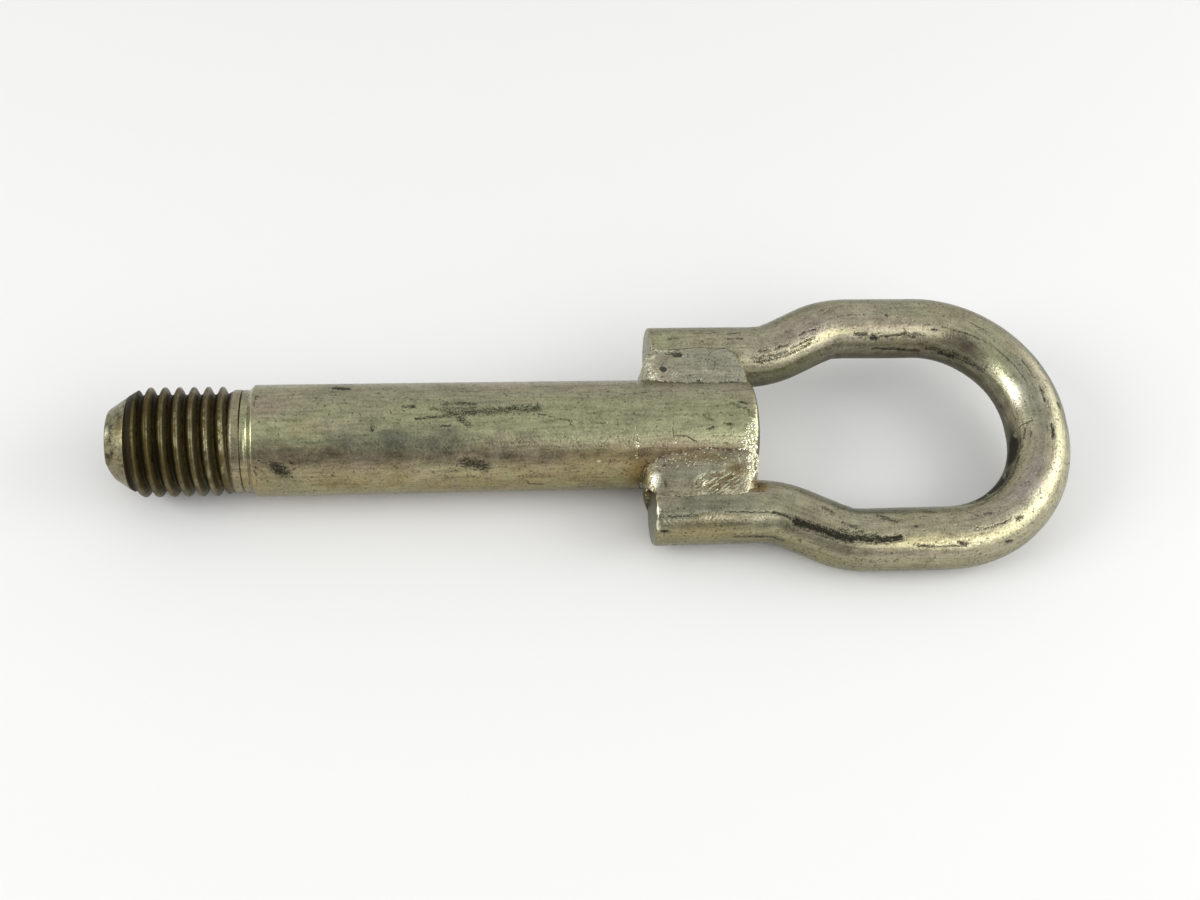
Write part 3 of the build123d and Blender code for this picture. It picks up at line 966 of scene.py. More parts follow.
def shank_material(finish, groups, sizes):
    """Plating in lengthwise bands, darkened as painted shade far side and underneath, with smudges and
    scuffs, oily thread roots and bright crests.
    """
    radius = SHANK_RADIUS / MM
    thread_start = (NOSE_X + sizes.nose_length) / MM
    thread_end = thread_start + sizes.length / MM
    end = SHANK_END_X / MM
    paint = Paint("plated_shank", finish, groups, radius)
    tree = paint.tree
    drift = calc(tree, "SUBTRACT", mottle(tree, paint.place, 9.0, seed=6.0), 0.5)
    wander = calc(tree, "MULTIPLY_ADD", drift, 7.0, paint.around)
    low, high = -130, 60
    # The bands darken the far side and the underside as painted shade; their brown and green tints are the
    # plating's own
    bands = (
        (low, finish.bronze_and_under_shade), (-100, finish.bronze_and_under_shade), (-76, finish.tea_and_low_shade), (-54, finish.umber),
        (-36, finish.green), (-10, finish.green), (14, finish.dull_far_shade), (38, finish.drab_and_side_shade), (55, finish.drab_and_side_shade))
    ground = toned(tree, spread(tree, wander, radians(low) * radius, radians(high) * radius),
                   [((turn - low) / (high - low), colour) for turn, colour in bands])
    paint.lay_plating(ground, 0.3)
    smudge = largest(tree, paint.patch(-40, -6.6, 32, 8.0, 0.0), paint.patch(-31, -7.0, 16, 7.0, 0.0),
                     paint.patch(-29.5, -5.4, 8, 5.0, 0.1))
    paint.stain(product(tree, smudge, paint.blotches(5.0, 4.0, 7.0, 0.15, 0.55)), 0.9, finish.smudge)
    paint.patches((
        (-54, -4.0, 9, 6, 0.1, 0.5, finish.yellow),
        (-60, 0.0, 11, 8, 0.2, 0.75, finish.blush),
        (1, -10.4, 34, 5.5, 0.1, 0.7, finish.honey),
        (5, -14, 8, 12, 0.1, 0.6, finish.flux),
        (-58, -15, 11, 12, 0.1, 0.35, finish.smudge),
        (17, -9.8, 24, 2.8, 0.0, 0.6, finish.flux),
    ))
    worn = mottle(tree, paint.place, 1.3, 4.0, seed=8.0)
    nose = paint.lengthwise(thread_start + 0.4, thread_start - 0.2)
    paint.stain(nose, 0.6, finish.nose)
    paint.stain(product(tree, nose, spread(tree, worn, 0.42, 0.6)), 0.55, finish.crest)
    paint.stain(product(tree, nose, spread(tree, worn, 0.56, 0.66)), 0.75, finish.oil)
    # Painted highlight on the front edge of the nose
    glint = product(tree, paint.patch(thread_start - 3.2, -3.0, 1.6, 5.0, 0.2),
                    paint.lengthwise(thread_start - 3.55, thread_start - 3.3))
    paint.stain(glint, 0.7, finish.bright)
    paint.stain(paint.patch(thread_start - 0.7, -2.5, 1.8, 8.0, 0.2), 0.6, finish.flux)
    neck = paint.collar(thread_end - 0.6, 0.8, 1.0)
    paint.stain(neck, 0.6, finish.umber)
    seam = product(tree, paint.collar(thread_end + 0.42, 0.06, 0.2),
                   spread(tree, paint.around, -8.0, 0.0, 0.35, 1.0))
    paint.stain(seam, 0.9, finish.oil)
    paint.stain(paint.lengthwise(end - 0.1, end), 1.0, finish.drab_and_side_shade)
    paint.stain(paint.collar(end - 0.24, 0.1, 0.24), 0.6, finish.oil)
    paint.stain(paint.patch(-2.5, -11.3, 1.0, 0.9, 0.3), 0.8, finish.bright)
    dark = paint.torn_scuffs(SHANK_SCUFFS, SHANK_SMEARS)
    for along, around, reach in SHANK_DENTS:
        dark = largest(tree, dark, product(tree, paint.ring(along, around, reach, 0.16), 0.9))
    paint.stain(dark, 1.0, finish.grime)
    oily = oily_thread(paint, worn, thread_start, thread_end)
    paint.roughen(oily, 0.2)
    paint.roughen(dark, 0.3)
    paint.roughen(neck, 0.1)
    paint.lift(dark, -1.0)
    return paint.close(largest(tree, dark, oily), 0.04 * MM)


def bar_material(finish, groups, radius, length):
    """Plating with drifting tints, die scuffs and smears, a dark band and grime on the loop's inner side,
    painted shade low and outside on the arms and painted highlights.
    """
    paint = Paint("plated_bar", finish, groups, radius)
    tree = paint.tree
    yellowed = spread(tree, mottle(tree, paint.place, 14.0, seed=9.0), 0.42, 0.62, 0.0, 0.25, smooth=True)
    paint.lay_plating(blend(tree, yellowed, rgba(finish.tan), rgba(finish.yellow)), 0.35)
    paint.patches((
        (76, -3.0, 30, 10.0, 0.0, 0.7, finish.green),
        (88, 5.6, 22, 6.0, 0.0, 0.7, finish.green),
        (3, 1.0, 14, 13.0, 0.0, 0.7, finish.green),
        (131, 4.6, 48, 4.4, 0.0, 0.7, finish.blush),
        (30, 1.4, 16, 5.0, 0.0, 0.7, finish.blush),
        (48, -2.2, 26, 5.0, 0.0, 0.7, finish.blush),
        (104, -1.6, 28, 5.4, 0.1, 0.65, finish.lilac),
        (82, -1.5, 26, 6.0, 0.1, 0.7, finish.sage),
        (124, 2.9, 44, 4.6, 0.1, 0.75, finish.yellow),
        (168, 2.0, 26, 9.0, 0.4, 0.62, finish.smudge),
    ))
    # Painted shade: the crown's and the near leg's lower outer sides are darkened with drab
    low = product(tree, paint.turned(50, 86, 0.0, 0.95), paint.lengthwise(86.0, 112.0, smooth=True))
    leg = product(tree, paint.turned(34, 72, 0.0, 0.9), paint.lengthwise(130.0, 142.0, smooth=True))
    paint.stain(largest(tree, leg, low), 1.0, finish.drab_and_side_shade)
    # Painted shade on the far arm's outer side
    outer = product(tree, paint.turned(18, 48, 0.0, 0.92, smooth=True),
                    paint.lengthwise(86.0, 96.0, 1.0, 0.0, smooth=True))
    paint.stain(outer, 1.0, finish.far_arm_shade)
    paint.patches((
        (26, -7.0, 20, 6.4, 0.0, 0.7, finish.moss),
        (31, -0.6, 22, 6.0, 0.0, 0.6, finish.rose),
        (148, 1.2, 16, 6.0, 0.0, 0.5, finish.fawn),
        (166, 3.2, 20, 3.0, 0.0, 0.5, finish.ochre),
        # Painted highlights on the crown's inner side and top and on the near arm's outer side
        (81, -4.7, 13, 3.4, 0.0, 0.4, finish.inner_crown_highlight),
        (82, -3.1, 8, 2.4, 0.0, 0.35, finish.inner_crown_glint),
        (105, 0.4, 24, 3.2, 0.0, 0.35, finish.crown_top_highlight),
        (124, 3.9, 30, 4.2, 0.0, 0.3, finish.near_arm_highlight),
    ))
    # Painted sparkle of highlight on the near arm's outer side
    glint_flecks = product(tree, paint.blotches(0.5, 3.0, 23.0, 0.54, 0.62), paint.patch(122, 3.2, 22, 3.6, 0.2))
    paint.stain(glint_flecks, 0.7, finish.bright)
    paint.patches((
        (78, 5.0, 28, 5.0, 0.1, 0.8, finish.olive),
        (65, -4.2, 14, 4.8, 0.1, 0.75, finish.peat),
        (35, -3.4, 26, 2.4, 0.0, 0.5, finish.yellow),
        # The grey smudge on the near arm's inner side is partly dirt and partly painted shade
        (138, -4.8, 48, 5.0, 0.2, 0.9, finish.smudge),
    ))
    drip = product(tree, paint.patch(158.4, -2.9, 5.2, 4.2, 0.2), paint.blotches(1.1, 4.0, 22.0, 0.3, 0.42))
    paint.stain(drip, 0.9, finish.flux)
    ground_off = product(tree, paint.patch(166.5, 3.3, 8.5, 1.5, 0.4), paint.strokes(-60, 18.0))
    paint.stain(ground_off, 0.6, finish.ground_metal)
    golden = paint.patch(168, 5.8, 24, 6.0, 0.1)
    paint.stain(golden, 0.75, finish.gold)
    rusty = product(tree, paint.blotches(0.9, 4.0, 20.0, 0.6, 0.68),
                    largest(tree, golden, paint.patch(25, -3.2, 18, 4.0, 0.2)))
    paint.stain(rusty, 0.7, finish.flux)
    ends = largest(tree, paint.lengthwise(0.15, 0.0), paint.lengthwise(length - 0.15, length))
    paint.stain(ends, 1.0, finish.drab_and_side_shade)
    # Painted highlights on the rim of the near leg's cut end
    glint = largest(tree, paint.patch(length - 0.3, 1.7, 1.1, 2.0, 0.5),
                    paint.patch(length - 0.3, 4.4, 1.1, 2.4, 0.5))
    paint.stain(glint, 0.9, finish.bright)
    # A dark band low on the loop's inner side, all along the bar
    wander = calc(tree, "SUBTRACT", mottle(tree, paint.place, 3.0, 4.0, 10.0), 0.5)
    edge = calc(tree, "MULTIPLY_ADD", wander, 4.0, paint.around)
    inner = product(tree, spread(tree, edge, radians(-56) * radius, radians(-92) * radius, 0.0, 0.75),
                    calc(tree, "SUBTRACT", 1.0, ends))
    paint.stain(inner, 1.0, finish.oil)
    rim = largest(tree, paint.patch(95, -7.4, 18, 5.2, 0.4), paint.patch(107, -6.8, 24, 5.2, 0.3),
                  paint.patch(114, -6.2, 14, 4.0, 0.1))
    rim = product(tree, rim, paint.blotches(1.5, 4.0, 16.0, 0.26, 0.4), 0.95)
    dark = largest(tree, paint.torn_scuffs(BAR_SCUFFS, BAR_SMEARS), rim)
    paint.stain(dark, 1.0, finish.grime)
    soiled = largest(tree, dark, product(tree, inner, 0.6))
    paint.roughen(soiled, 0.25)
    paint.lift(dark, -1.0)
    return paint.close(soiled, 0.05 * MM)


def weld_material(finish, groups):
    """Plated weld metal with scaly toes and pits, painted glints on its ripples, strokes and drops, and
    painted shade in a crevice and between the strokes.
    """
    paint = Paint("weld_metal", finish, groups)
    tree = paint.tree
    paint.lay_plating(rgba(finish.weld), 0.5)
    axes = axes_of(tree, paint.place)
    near = spread(tree, axes["Y"], -1.0, -2.0)
    far = calc(tree, "SUBTRACT", 1.0, near)
    below = spread(tree, axes["Z"], 9.5, 8.0)
    across = paint.attribute("across")
    scale = mottle(tree, paint.place, 1.0, 4.0, 11.0)

    def near_patch(*oval):
        return product(tree, paint.patch(*oval), near)

    paint.stain(near, 0.45, finish.weld_tan)
    toe = product(tree, spread(tree, across, 0.03, 0.18, 1.0, 0.0), near, spread(tree, scale, 0.34, 0.5))
    paint.stain(toe, 0.9, finish.rust)
    middle = near_patch(13.5, 5.2, 14, 4.6, 0.2)
    paint.stain(middle, 0.6, finish.weld_sage)
    drip = near_patch(25.6, 8.6, 3.2, 2.6, 0.3)
    paint.stain(drip, 0.85, finish.flux)
    shade = paint.blotches(2.6, 4.0, 25.0, 0.4, 0.62)
    paint.stain(product(tree, shade, near), 0.45, finish.weld_shade)
    paint.stain(product(tree, shade, far), 0.55, finish.weld_pale)
    far_pits = largest(tree, paint.patch(10.5, 3.5, 1.8, 2.1, 0.6), paint.patch(13.6, 7.9, 2.3, 2.0, 0.6),
                       paint.patch(12.2, 8.4, 2.4, 1.1, 0.5))
    pits = largest(tree, product(tree, far_pits, far), paint.blotches(1.2, 4.0, 12.0, 0.68, 0.72))
    paint.stain(pits, 0.95, finish.pit)
    # Golden flux under the near toe, and golden-brown painted shade round the strokes
    golden = largest(tree, paint.patch(16, 2.0, 16, 3.0, 0.2), paint.patch(22.4, 4.6, 6.5, 5.0, 0.2))
    paint.stain(product(tree, golden, near), 0.5, finish.flux)
    # Painted shadow in the crevice beside the glossy drop
    paint.stain(near_patch(9.1, 7.3, 0.9, 3.0, 0.2), 0.6, finish.grime)
    pocks = product(tree, paint.blotches(0.5, 3.0, 24.0, 0.56, 0.62),
                    paint.patch(19.0, 5.6, 5.0, 4.5, 0.2), far)
    paint.stain(pocks, 0.85, finish.grime)
    crack = product(tree, spread(tree, across, 0.015, 0.05, 1.0, 0.0), spread(tree, scale, 0.45, 0.52), far)
    paint.stain(crack, 0.9, finish.grime)
    paint.stain(product(tree, below, near), 0.75, finish.flank)
    stroke_glint_area = near_patch(19.2, 7.6, 11, 6.0, 0.4)
    strokes = product(tree, stroke_glint_area, paint.strokes(38, 17.0))
    # Painted shade in flux gold in the gaps between the glinting strokes
    paint.stain(product(tree, stroke_glint_area, spread(tree, strokes, 0.3, 0.0)), 0.5, finish.flux)
    glint_flecks = product(tree, paint.blotches(0.5, 3.0, 19.0, 0.59, 0.66),
                     spread(tree, across, 0.22, 0.4, 1.0, 0.0))
    # Painted highlight on the glossy drop at the near bead's front
    blob_highlight = near_patch(7.5, 6.0, 2.4, 5.4, 0.2)
    lit_toe = product(tree, spread(tree, across, 0.8, 0.93), paint.lengthwise(16.0, 12.0),
                      paint.blotches(0.5, 3.0, 21.0, 0.52, 0.6))
    far_glint = largest(tree, lit_toe, paint.patch(9.0, 7.4, 1.2, 2.2, 0.0))
    # Painted glints: the strokes, the ripple crests and drops, specks near the toe, the drop at the near
    # bead's front and spots on the far bead's leg toe
    glint = largest(tree, strokes, paint.attribute("ripple"), product(tree, glint_flecks, near), blob_highlight,
                    product(tree, far_glint, far))
    paint.stain(glint, 0.85, finish.bright)
    paint.stain(blob_highlight, 0.5, finish.blob_highlight)
    paint.stain(near_patch(8.4, 8.6, 2.2, 2.0, 0.3), 0.5, finish.blush)
    for mask, gain in ((toe, 0.3), (glint, -0.16), (middle, -0.05)):
        paint.roughen(mask, gain)
    for mask, gain in ((strokes, 4.0), (glint_flecks, 1.5), (scale, 1.2), (pits, -2.0)):
        paint.lift(mask, gain)
    return paint.close(largest(tree, toe, drip, pits), 0.08 * MM)


def shared_groups():
    """The shader groups that all the finishes share, made once."""
    known = bpy.data.node_groups
    return known.get("Scuff") or scuff_group(), known.get("Passivated Zinc") or plating_group()


class TOWEYE_OT_shank(bpy.types.Operator):
    """Turns the shank and rolls its thread"""

    bl_idname = "tow_eye.shank"
    bl_label = "Build Threaded Shank"

    around = 240
    fine_step = 0.1 * MM
    edge_step = 0.2 * MM
    body_step = 3.0 * MM

    def outline(self, sizes):
        """Half section of the shank from the nose to the back end, as distance along and radius."""
        thread_start = NOSE_X + sizes.nose_length
        thread_end = thread_start + sizes.length
        neck_end = thread_end + sizes.neck_length
        body_start = neck_end + sizes.shoulder_length
        root = SHANK_RADIUS - sizes.crest_wear - sizes.depth
        corners = (
            (NOSE_X, 0.3 * MM),
            (NOSE_X, sizes.nose_radius),
            (thread_start, root),
            (thread_end - sizes.runout, root),
            (thread_end - 0.9 * MM, sizes.neck_radius + 0.18 * MM),
            (thread_end + 0.3 * MM, sizes.neck_radius + 0.12 * MM),
            (thread_end + 0.42 * MM, sizes.neck_radius - 0.12 * MM),
            (thread_end + 0.55 * MM, sizes.neck_radius + 0.1 * MM),
            (neck_end - 0.3 * MM, sizes.neck_radius + 0.14 * MM),
            (neck_end, sizes.neck_radius),
            (neck_end + 0.3 * MM, sizes.neck_radius + 0.1 * MM),
            (body_start, SHANK_RADIUS),
            (SHANK_END_X, SHANK_RADIUS),
            (SHANK_END_X, 0.3 * MM),
        )
        radii = [round_mm * MM for round_mm in (0.45, 0.4, 0.6, 0.2, 0.05, 0.03, 0.06, 0.2, 0.15, 0.15, 0.5)]
        radii.append(sizes.end_round)
        line = filleted(corners, radii, self.fine_step)

        def step_at(x):
            if x < thread_start - self.edge_step or x > SHANK_END_X - 2 * sizes.end_round:
                return self.edge_step
            return self.fine_step if x < body_start + self.edge_step else self.body_step

        return walked(line, step_at)

    def execute(self, context):
        scene = context.scene
        sizes = scene.tow_eye_thread
        line = self.outline(sizes)
        turns = [turn_of(spoke, self.around) for spoke in range(self.around)]
        facet_slope = tan(sizes.facet_tilt)
        rings = []
        for spot in line:
            ring = []
            for turn in turns:
                y, rise = spot.y * sin(turn), spot.y * cos(turn)
                reach = y * cos(sizes.facet_turn) + rise * sin(sizes.facet_turn)
                x = max(spot.x, NOSE_X + (reach - sizes.facet_offset) * facet_slope)
                ring.append((x, y, AXIS_HEIGHT + rise))
            rings.append(ring)
        ruler_radius = SHANK_RADIUS / MM

        def ruler(ring, spoke):
            return line[ring].x / MM, turn_of(spoke, self.around) * ruler_radius

        shank = tube("threaded_shank_turned", rings, ruler)
        thread_start = NOSE_X + sizes.nose_length
        run_tree(shank, rolled_thread_tree(), {
            "Axis Height": AXIS_HEIGHT,
            "Start": thread_start,
            "End": thread_start + sizes.length - sizes.neck_length / 3,
            "First Crest": thread_start + sizes.first_crest,
            "Pitch": sizes.pitch,
            "Root Radius": SHANK_RADIUS - sizes.crest_wear - sizes.depth,
            "Depth": sizes.depth,
            "Lead": sizes.lead,
            "Run-out": sizes.runout,
            "Material": shank_material(scene.tow_eye_finish, shared_groups(), sizes),
        })
        dress(shank, "threaded_shank")
        return {"FINISHED"}


def leg_offset_of(bar):
    """Middle of a leg from the shank's axis."""
    return SHANK_RADIUS + bar.leg_gap + bar.radius


def eye_roll(sizes):
    """How far the eye lies rolled about the shank until its near arm meets the ground."""
    return asin((SHANK_RADIUS - sizes.radius) / sizes.arm_offset)


class TOWEYE_OT_eye_loop(bpy.types.Operator):
    """Bends the bar into the eye's legs, joggles, arms and crown"""

    bl_idname = "tow_eye.eye_loop"
    bl_label = "Build Eye Loop"

    around = 144
    step = 0.45 * MM
    path_step = 0.25 * MM

    def path(self, sizes):
        """Middle line of the bar, flat in the eye's plane, from the far leg's end to the near leg's end."""
        leg_offset = leg_offset_of(sizes)
        leg_end = SHANK_END_X - sizes.leg_lap
        joggle_start = SHANK_END_X + sizes.standoff
        arm_start = joggle_start + sizes.joggle
        crown_middle = CROWN_X - sizes.radius
        corners = (
            (leg_end, leg_offset),
            (joggle_start, leg_offset),
            (arm_start, sizes.arm_offset),
            (crown_middle, sizes.arm_offset),
            (crown_middle, -sizes.arm_offset),
            (arm_start - sizes.near_skew, -sizes.arm_offset),
            (joggle_start - sizes.near_skew, -leg_offset),
            (leg_end - sizes.near_skew, -leg_offset),
        )
        crown = sizes.arm_offset - sizes.crown_flat / 2
        bends = [sizes.bend_radius, sizes.bend_radius]
        line = filleted(corners, [*bends, crown, crown, *bends], self.path_step)
        return walked(line, lambda x: self.path_step)

    def stations(self, length, bevel):
        """Places along the bar, closer together on the bevelled ends."""
        count = round(length / self.step)
        even = [length * number / count for number in range(count + 1)]
        inset = bevel * 0.8
        tip = [bevel * share for share in (0.0, 0.12, 0.3, 0.55)]
        return [*tip, *(spot for spot in even if inset < spot < length - inset),
                *(length - spot for spot in reversed(tip))]

    def ring(self, sizes, spot, length):
        """Points round the straight bar, with its waviness, die groove and pinched bends."""
        from_end = min(spot, length - spot)
        first_bend = sizes.leg_lap + sizes.standoff
        second_bend = first_bend + hypot(sizes.joggle, sizes.arm_offset - leg_offset_of(sizes))
        outer_crease = exp(-abs(from_end - first_bend) / sizes.crease_width)
        inner_crease = exp(-abs(from_end - second_bend) / sizes.crease_width)
        worn = sizes.end_bevel * (1 - rounded(from_end, sizes.end_bevel))
        grooved = sizes.groove_depth * ramp(spot, length - 29 * MM, length - 24 * MM)
        points = []
        for spoke in range(self.around):
            turn = turn_of(spoke, self.around)
            side, up = sin(turn), cos(turn)
            wave = noise.noise(Vector((spot / (9 * MM), 2.2 * side, 2.2 * up))) - 1
            off_groove = (turn - sizes.groove_turn) * sizes.radius / sizes.groove_width
            crease = (outer_crease if side > 0 else inner_crease) * side ** 2
            reach = sizes.radius - worn + wave * sizes.unevenness
            reach -= grooved * exp(-off_groove ** 2) + crease * sizes.crease_depth
            points.append((spot, reach * side, reach * up))
        return points

    def execute(self, context):
        scene = context.scene
        sizes = scene.tow_eye_bar
        path = self.path(sizes)
        curve = bpy.data.curves.new("eye_path", "CURVE")
        curve.dimensions = "3D"
        spline = curve.splines.new("POLY")
        spline.points.add(len(path) - 1)
        for point, spot in zip(spline.points, path):
            point.co = (spot.x, spot.y, 0.0, 1.0)
        guide = bpy.data.objects.new("eye_path", curve)
        scene.collection.objects.link(guide)
        length = sum((end - start).length for start, end in zip(path, path[1:]))
        spots = self.stations(length, sizes.end_bevel)
        rings = [self.ring(sizes, spot, length) for spot in spots]
        ruler_radius = sizes.radius / MM

        def ruler(ring, spoke):
            return spots[ring] / MM, turn_of(spoke, self.around) * ruler_radius

        bar = tube("eye_loop_bent", rings, ruler)
        run_tree(bar, bent_bar_tree(), {
            "Path": guide,
            "Roll": eye_roll(sizes),
            "Axis Height": AXIS_HEIGHT,
            "Material": bar_material(scene.tow_eye_finish, shared_groups(), ruler_radius, length / MM),
        })
        bpy.data.objects.remove(guide)
        dress(bar, "eye_loop")
        return {"FINISHED"}


class TOWEYE_OT_weld_beads(bpy.types.Operator):
    """Lays the rippled weld beads, the melted rim at the shank's end and two rows of spatter"""

    bl_idname = "tow_eye.weld_beads"
    bl_label = "Build Weld Beads"

    along = 130
    across = 36

    def bead(self, name, side, face, start, bar, weld):
        """One bead as a closed strip from toe to toe, with its root hidden in the valley."""
        leg_offset = leg_offset_of(bar)
        roll = eye_roll(bar)
        sink = 0.06 * MM
        end = SHANK_END_X - 0.1 * MM
        valley = Vector((SHANK_RADIUS, weld.root * 0.6))
        in_bar, in_shank = leg_offset - bar.radius + weld.root, SHANK_RADIUS - weld.root
        inner = [Vector((in_bar, valley.y)), Vector((in_shank, valley.y))]
        flipped = side * face > 0
        rings = []
        stations = []
        for number in range(self.along + 1):
            x = start + (end - start) * number / self.along
            on_shank = weld.shank_toe * (0.25 + 0.75 * rounded(x - start, weld.shank_taper))
            on_leg = weld.leg_toe * (0.15 + 0.85 * rounded(x - start, weld.leg_taper))
            on_leg *= 0.4 + 0.6 * rounded(end - x, weld.back_taper)
            drift = noise.noise(Vector((x / (5 * MM), 3.0 * side, 5.0 * face)))
            on_shank += weld.ragged_toe * drift
            on_leg -= 2 * weld.ragged_toe * drift
            jagged = weld.ragged_toe * noise.noise(Vector((x / (0.8 * MM), 7.0 * side, 2.0 * face)))
            shank_toe = Vector((cos(on_shank), sin(on_shank))) * (SHANK_RADIUS - sink)
            leg_toe = Vector((leg_offset, 0)) + Vector((-cos(on_leg), sin(on_leg))) * (bar.radius - sink)
            chord = leg_toe - shank_toe
            peak = Vector((-chord.y, chord.x)).normalized() * weld.crown * rounded(x - start, weld.leg_taper)
            closing = 0.4 + 0.6 * rounded(end - x, 1.6 * MM)
            ring = []
            for step in range(self.across + 1):
                share = step / self.across
                at_toes = max(0, 1 - share / 0.15) + max(0, 1 - (1 - share) / 0.15)
                spot = shank_toe + chord * (share + at_toes * jagged) + peak * (4 * share * (1 - share))
                ring.append(valley + (spot - valley) * closing)
            ring = [self.placed(x, side * spot.x, face * spot.y, roll) for spot in ring + inner]
            rings.append(ring[::-1] if flipped else ring)
            stations.append(x)
        last = self.across + 2

        def ruler(ring, spoke):
            return stations[ring] / MM, (last - spoke if flipped else spoke) * 10 / self.across

        made = tube(name, rings, ruler)
        hidden = [-1.0, -1.0]
        shares = [step / self.across for step in range(self.across + 1)] + hidden
        shares = shares[::-1] if flipped else shares
        layer = made.data.attributes.new("across", "FLOAT", "POINT")
        layer.data.foreach_set("value", shares * (self.along + 1) + hidden)
        return made

    def placed(self, x, y, z, roll):
        """A point of the eye's own plane, rolled with the eye."""
        return x, y * cos(roll) - z * sin(roll), AXIS_HEIGHT + y * sin(roll) + z * cos(roll)

    def drops(self, name, tree, paint, weld, values):
        """Rows of melted drops on the shank."""
        made = bpy.data.objects.new(name, bpy.data.meshes.new(name))
        bpy.context.scene.collection.objects.link(made)
        run_tree(made, tree, {
            "Radius": SHANK_RADIUS - 0.05 * MM, "Axis Height": AXIS_HEIGHT, "Nub Radius": weld.nub_radius,
            "Material": paint, **values})
        dress(made, None)

    def execute(self, context):
        scene = context.scene
        bar, weld = scene.tow_eye_bar, scene.tow_eye_weld
        paint = weld_material(scene.tow_eye_finish, shared_groups())
        ripples = weld_ripple_tree()
        for side_name, side, skew, calm in (("far", 1, 0.0, 5.0 * MM), ("near", -1, bar.near_skew, 6.0 * MM)):
            for face_name, face in (("top", 1), ("under", -1)):
                start = SHANK_END_X - bar.leg_lap - skew - weld.end_run * (1.0 if face > 0 else 0.5)
                node = f"weld_bead_{side_name}_{face_name}"
                bead = self.bead(node + "_laid", side, face, start, bar, weld)
                run_tree(bead, ripples, {
                    "Spacing": weld.ripple_spacing, "Height": weld.ripple_height, "Bow": 6.0 * MM,
                    "Calm Until": SHANK_END_X - calm, "Shine": 0.3, "Seed": 3.0 * side + face,
                    "Drops From": SHANK_END_X - 2.6 * MM, "Drop Radius": weld.nub_radius,
                    "Drop Density": 2.6e6 if (side, face) == (-1, 1) else 0.0, "Material": paint})
                dress(bead, node)
        row = rim_nub_tree()
        self.drops("weld_rim_drops", row, paint, weld, {
            "Count": weld.nub_count, "Rows": 5, "Rim X": SHANK_END_X - 1.15 * MM, "Row Step": 0.65 * MM,
            "From": radians(-64), "To": radians(-12), "Seed": 4})
        self.drops("weld_spatter_front", row, paint, weld, {
            "Count": 10, "Rows": 1, "Rim X": 4.4 * MM, "Row Step": 0.9 * MM, "From": radians(-61),
            "To": radians(-30), "Seed": 7, "Nub Radius": weld.nub_radius * 0.7})
        self.drops("weld_spatter_back", row, paint, weld, {
            "Count": 6, "Rows": 1, "Rim X": 10.9 * MM, "Row Step": 0.9 * MM, "From": radians(-46),
            "To": radians(-33), "Seed": 9, "Nub Radius": weld.nub_radius * 0.65})
        return {"FINISHED"}


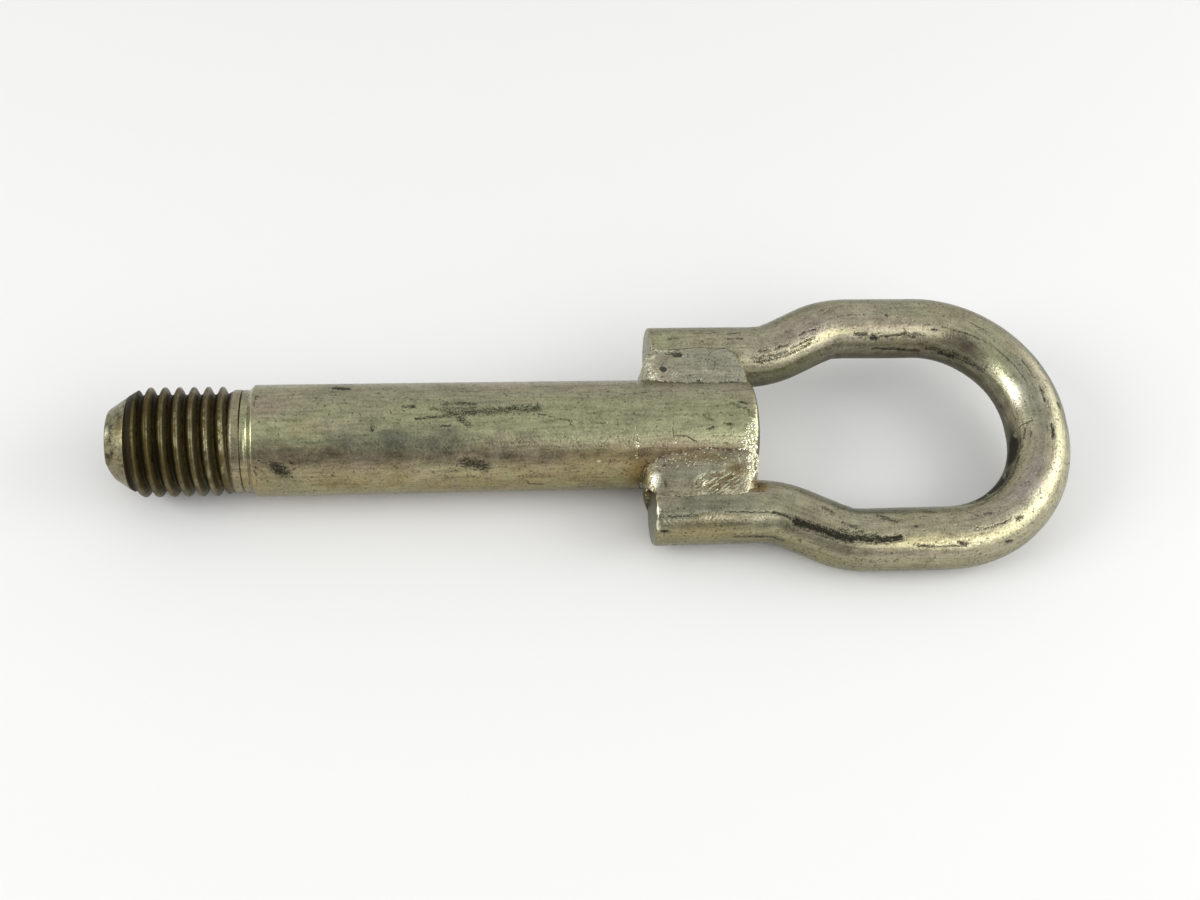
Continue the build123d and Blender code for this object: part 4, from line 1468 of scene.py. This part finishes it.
class TOWEYE_OT_stage(bpy.types.Operator):
    """Sets the pale floor, the soft light and the camera"""

    bl_idname = "tow_eye.stage"
    bl_label = "Build Stage"

    def execute(self, context):
        scene = context.scene
        stage = scene.tow_eye_stage
        half = 3.0
        square = [(-half, -half, 0), (half, -half, 0), (half, half, 0), (-half, half, 0)]
        mesh = bpy.data.meshes.new("floor")
        mesh.from_pydata(square, [], [(0, 1, 2, 3)])
        floor = bpy.data.objects.new("floor", mesh)
        scene.collection.objects.link(floor)
        cloth = bpy.data.materials.new("pale_cloth")
        cloth.use_nodes = True
        tree = cloth.node_tree
        shader = tree.nodes["Principled BSDF"]
        spot = add(tree, "ShaderNodeTexCoord").outputs["Object"]
        away = spread(tree, vector(tree, "LENGTH", spot), 0.3, 0.7, smooth=True)
        seen = add(tree, "ShaderNodeLightPath").outputs["Is Camera Ray"]
        away = product(tree, away, calc(tree, "SUBTRACT", 1.0, seen))
        pale = blend(tree, away, rgba(stage.floor), rgba(stage.far_floor))
        tree.links.new(pale, shader.inputs["Base Color"])
        shader.inputs["Roughness"].default_value = 0.85
        shader.inputs["Specular IOR Level"].default_value = 0.1
        mesh.materials.append(cloth)
        for name, (direction, share) in LAMPS.items():
            light = bpy.data.lights.new(name, "AREA")
            light.shape = "DISK"
            light.size = stage.lamp_width
            light.energy = stage.lamp_power * share
            lamp = bpy.data.objects.new(name, light)
            lamp.location = Vector(direction).normalized() * stage.lamp_distance
            lamp.rotation_euler = Vector(direction).to_track_quat("Z", "Y").to_euler()
            scene.collection.objects.link(lamp)
        world = bpy.data.worlds.new("soft_room")
        world.use_nodes = True
        scene.world = world
        tree = world.node_tree
        look = add(tree, "ShaderNodeTexCoord").outputs["Generated"]
        up = axes_of(tree, look)["Z"]
        room = spread(tree, up, 0.3, 0.9, stage.walls, stage.zenith, smooth=True)
        toward = vector(tree, "DOT_PRODUCT", look, Vector(DIM_SIDE).normalized()[:])
        dim = spread(tree, toward, 0.70, 0.92, 1.0, stage.dim_side, smooth=True)
        tree.links.new(product(tree, room, dim), tree.nodes["Background"].inputs["Strength"])
        tree.nodes["Background"].inputs["Color"].default_value = (1.0, 1.0, 1.0, 1.0)
        camera_data = bpy.data.cameras.new("camera")
        camera_data.lens = stage.lens
        camera = bpy.data.objects.new("camera", camera_data)
        camera.location = stage.camera_place
        camera.rotation_euler = stage.camera_turn
        camera_data.clip_start = 0.01
        scene.collection.objects.link(camera)
        scene.camera = camera
        scene.view_settings.view_transform = "Standard"
        return {"FINISHED"}


class TOWEYE_PT_panel(bpy.types.Panel):
    """Lists the sizes, the finish and the builders of the tow eye"""

    bl_label = "Tow Eye"
    bl_idname = "TOWEYE_PT_panel"
    bl_space_type = "VIEW_3D"
    bl_region_type = "UI"
    bl_category = "Tow Eye"

    def draw(self, context):
        for name in PROPERTIES:
            box = self.layout.box()
            group = getattr(context.scene, name)
            for prop in group.bl_rna.properties:
                if prop.identifier not in ("rna_type", "name"):
                    box.prop(group, prop.identifier)
        for operator in OPERATORS:
            self.layout.operator(operator.bl_idname)


PROPERTIES = {
    "tow_eye_thread": ThreadSizes,
    "tow_eye_bar": BarSizes,
    "tow_eye_weld": WeldSizes,
    "tow_eye_finish": Finish,
    "tow_eye_stage": Stage,
}
OPERATORS = (TOWEYE_OT_shank, TOWEYE_OT_eye_loop, TOWEYE_OT_weld_beads, TOWEYE_OT_stage)


def register():
    for group in (*PROPERTIES.values(), *OPERATORS, TOWEYE_PT_panel):
        bpy.utils.register_class(group)
    for name, group in PROPERTIES.items():
        setattr(bpy.types.Scene, name, bpy.props.PointerProperty(type=group))


def unregister():
    for name in PROPERTIES:
        delattr(bpy.types.Scene, name)
    for group in (TOWEYE_PT_panel, *reversed(OPERATORS), *PROPERTIES.values()):
        bpy.utils.unregister_class(group)


def main():
    register()
    bpy.ops.tow_eye.shank()
    bpy.ops.tow_eye.eye_loop()
    bpy.ops.tow_eye.weld_beads()
    bpy.ops.tow_eye.stage()


if __name__ == "__main__":
    main()
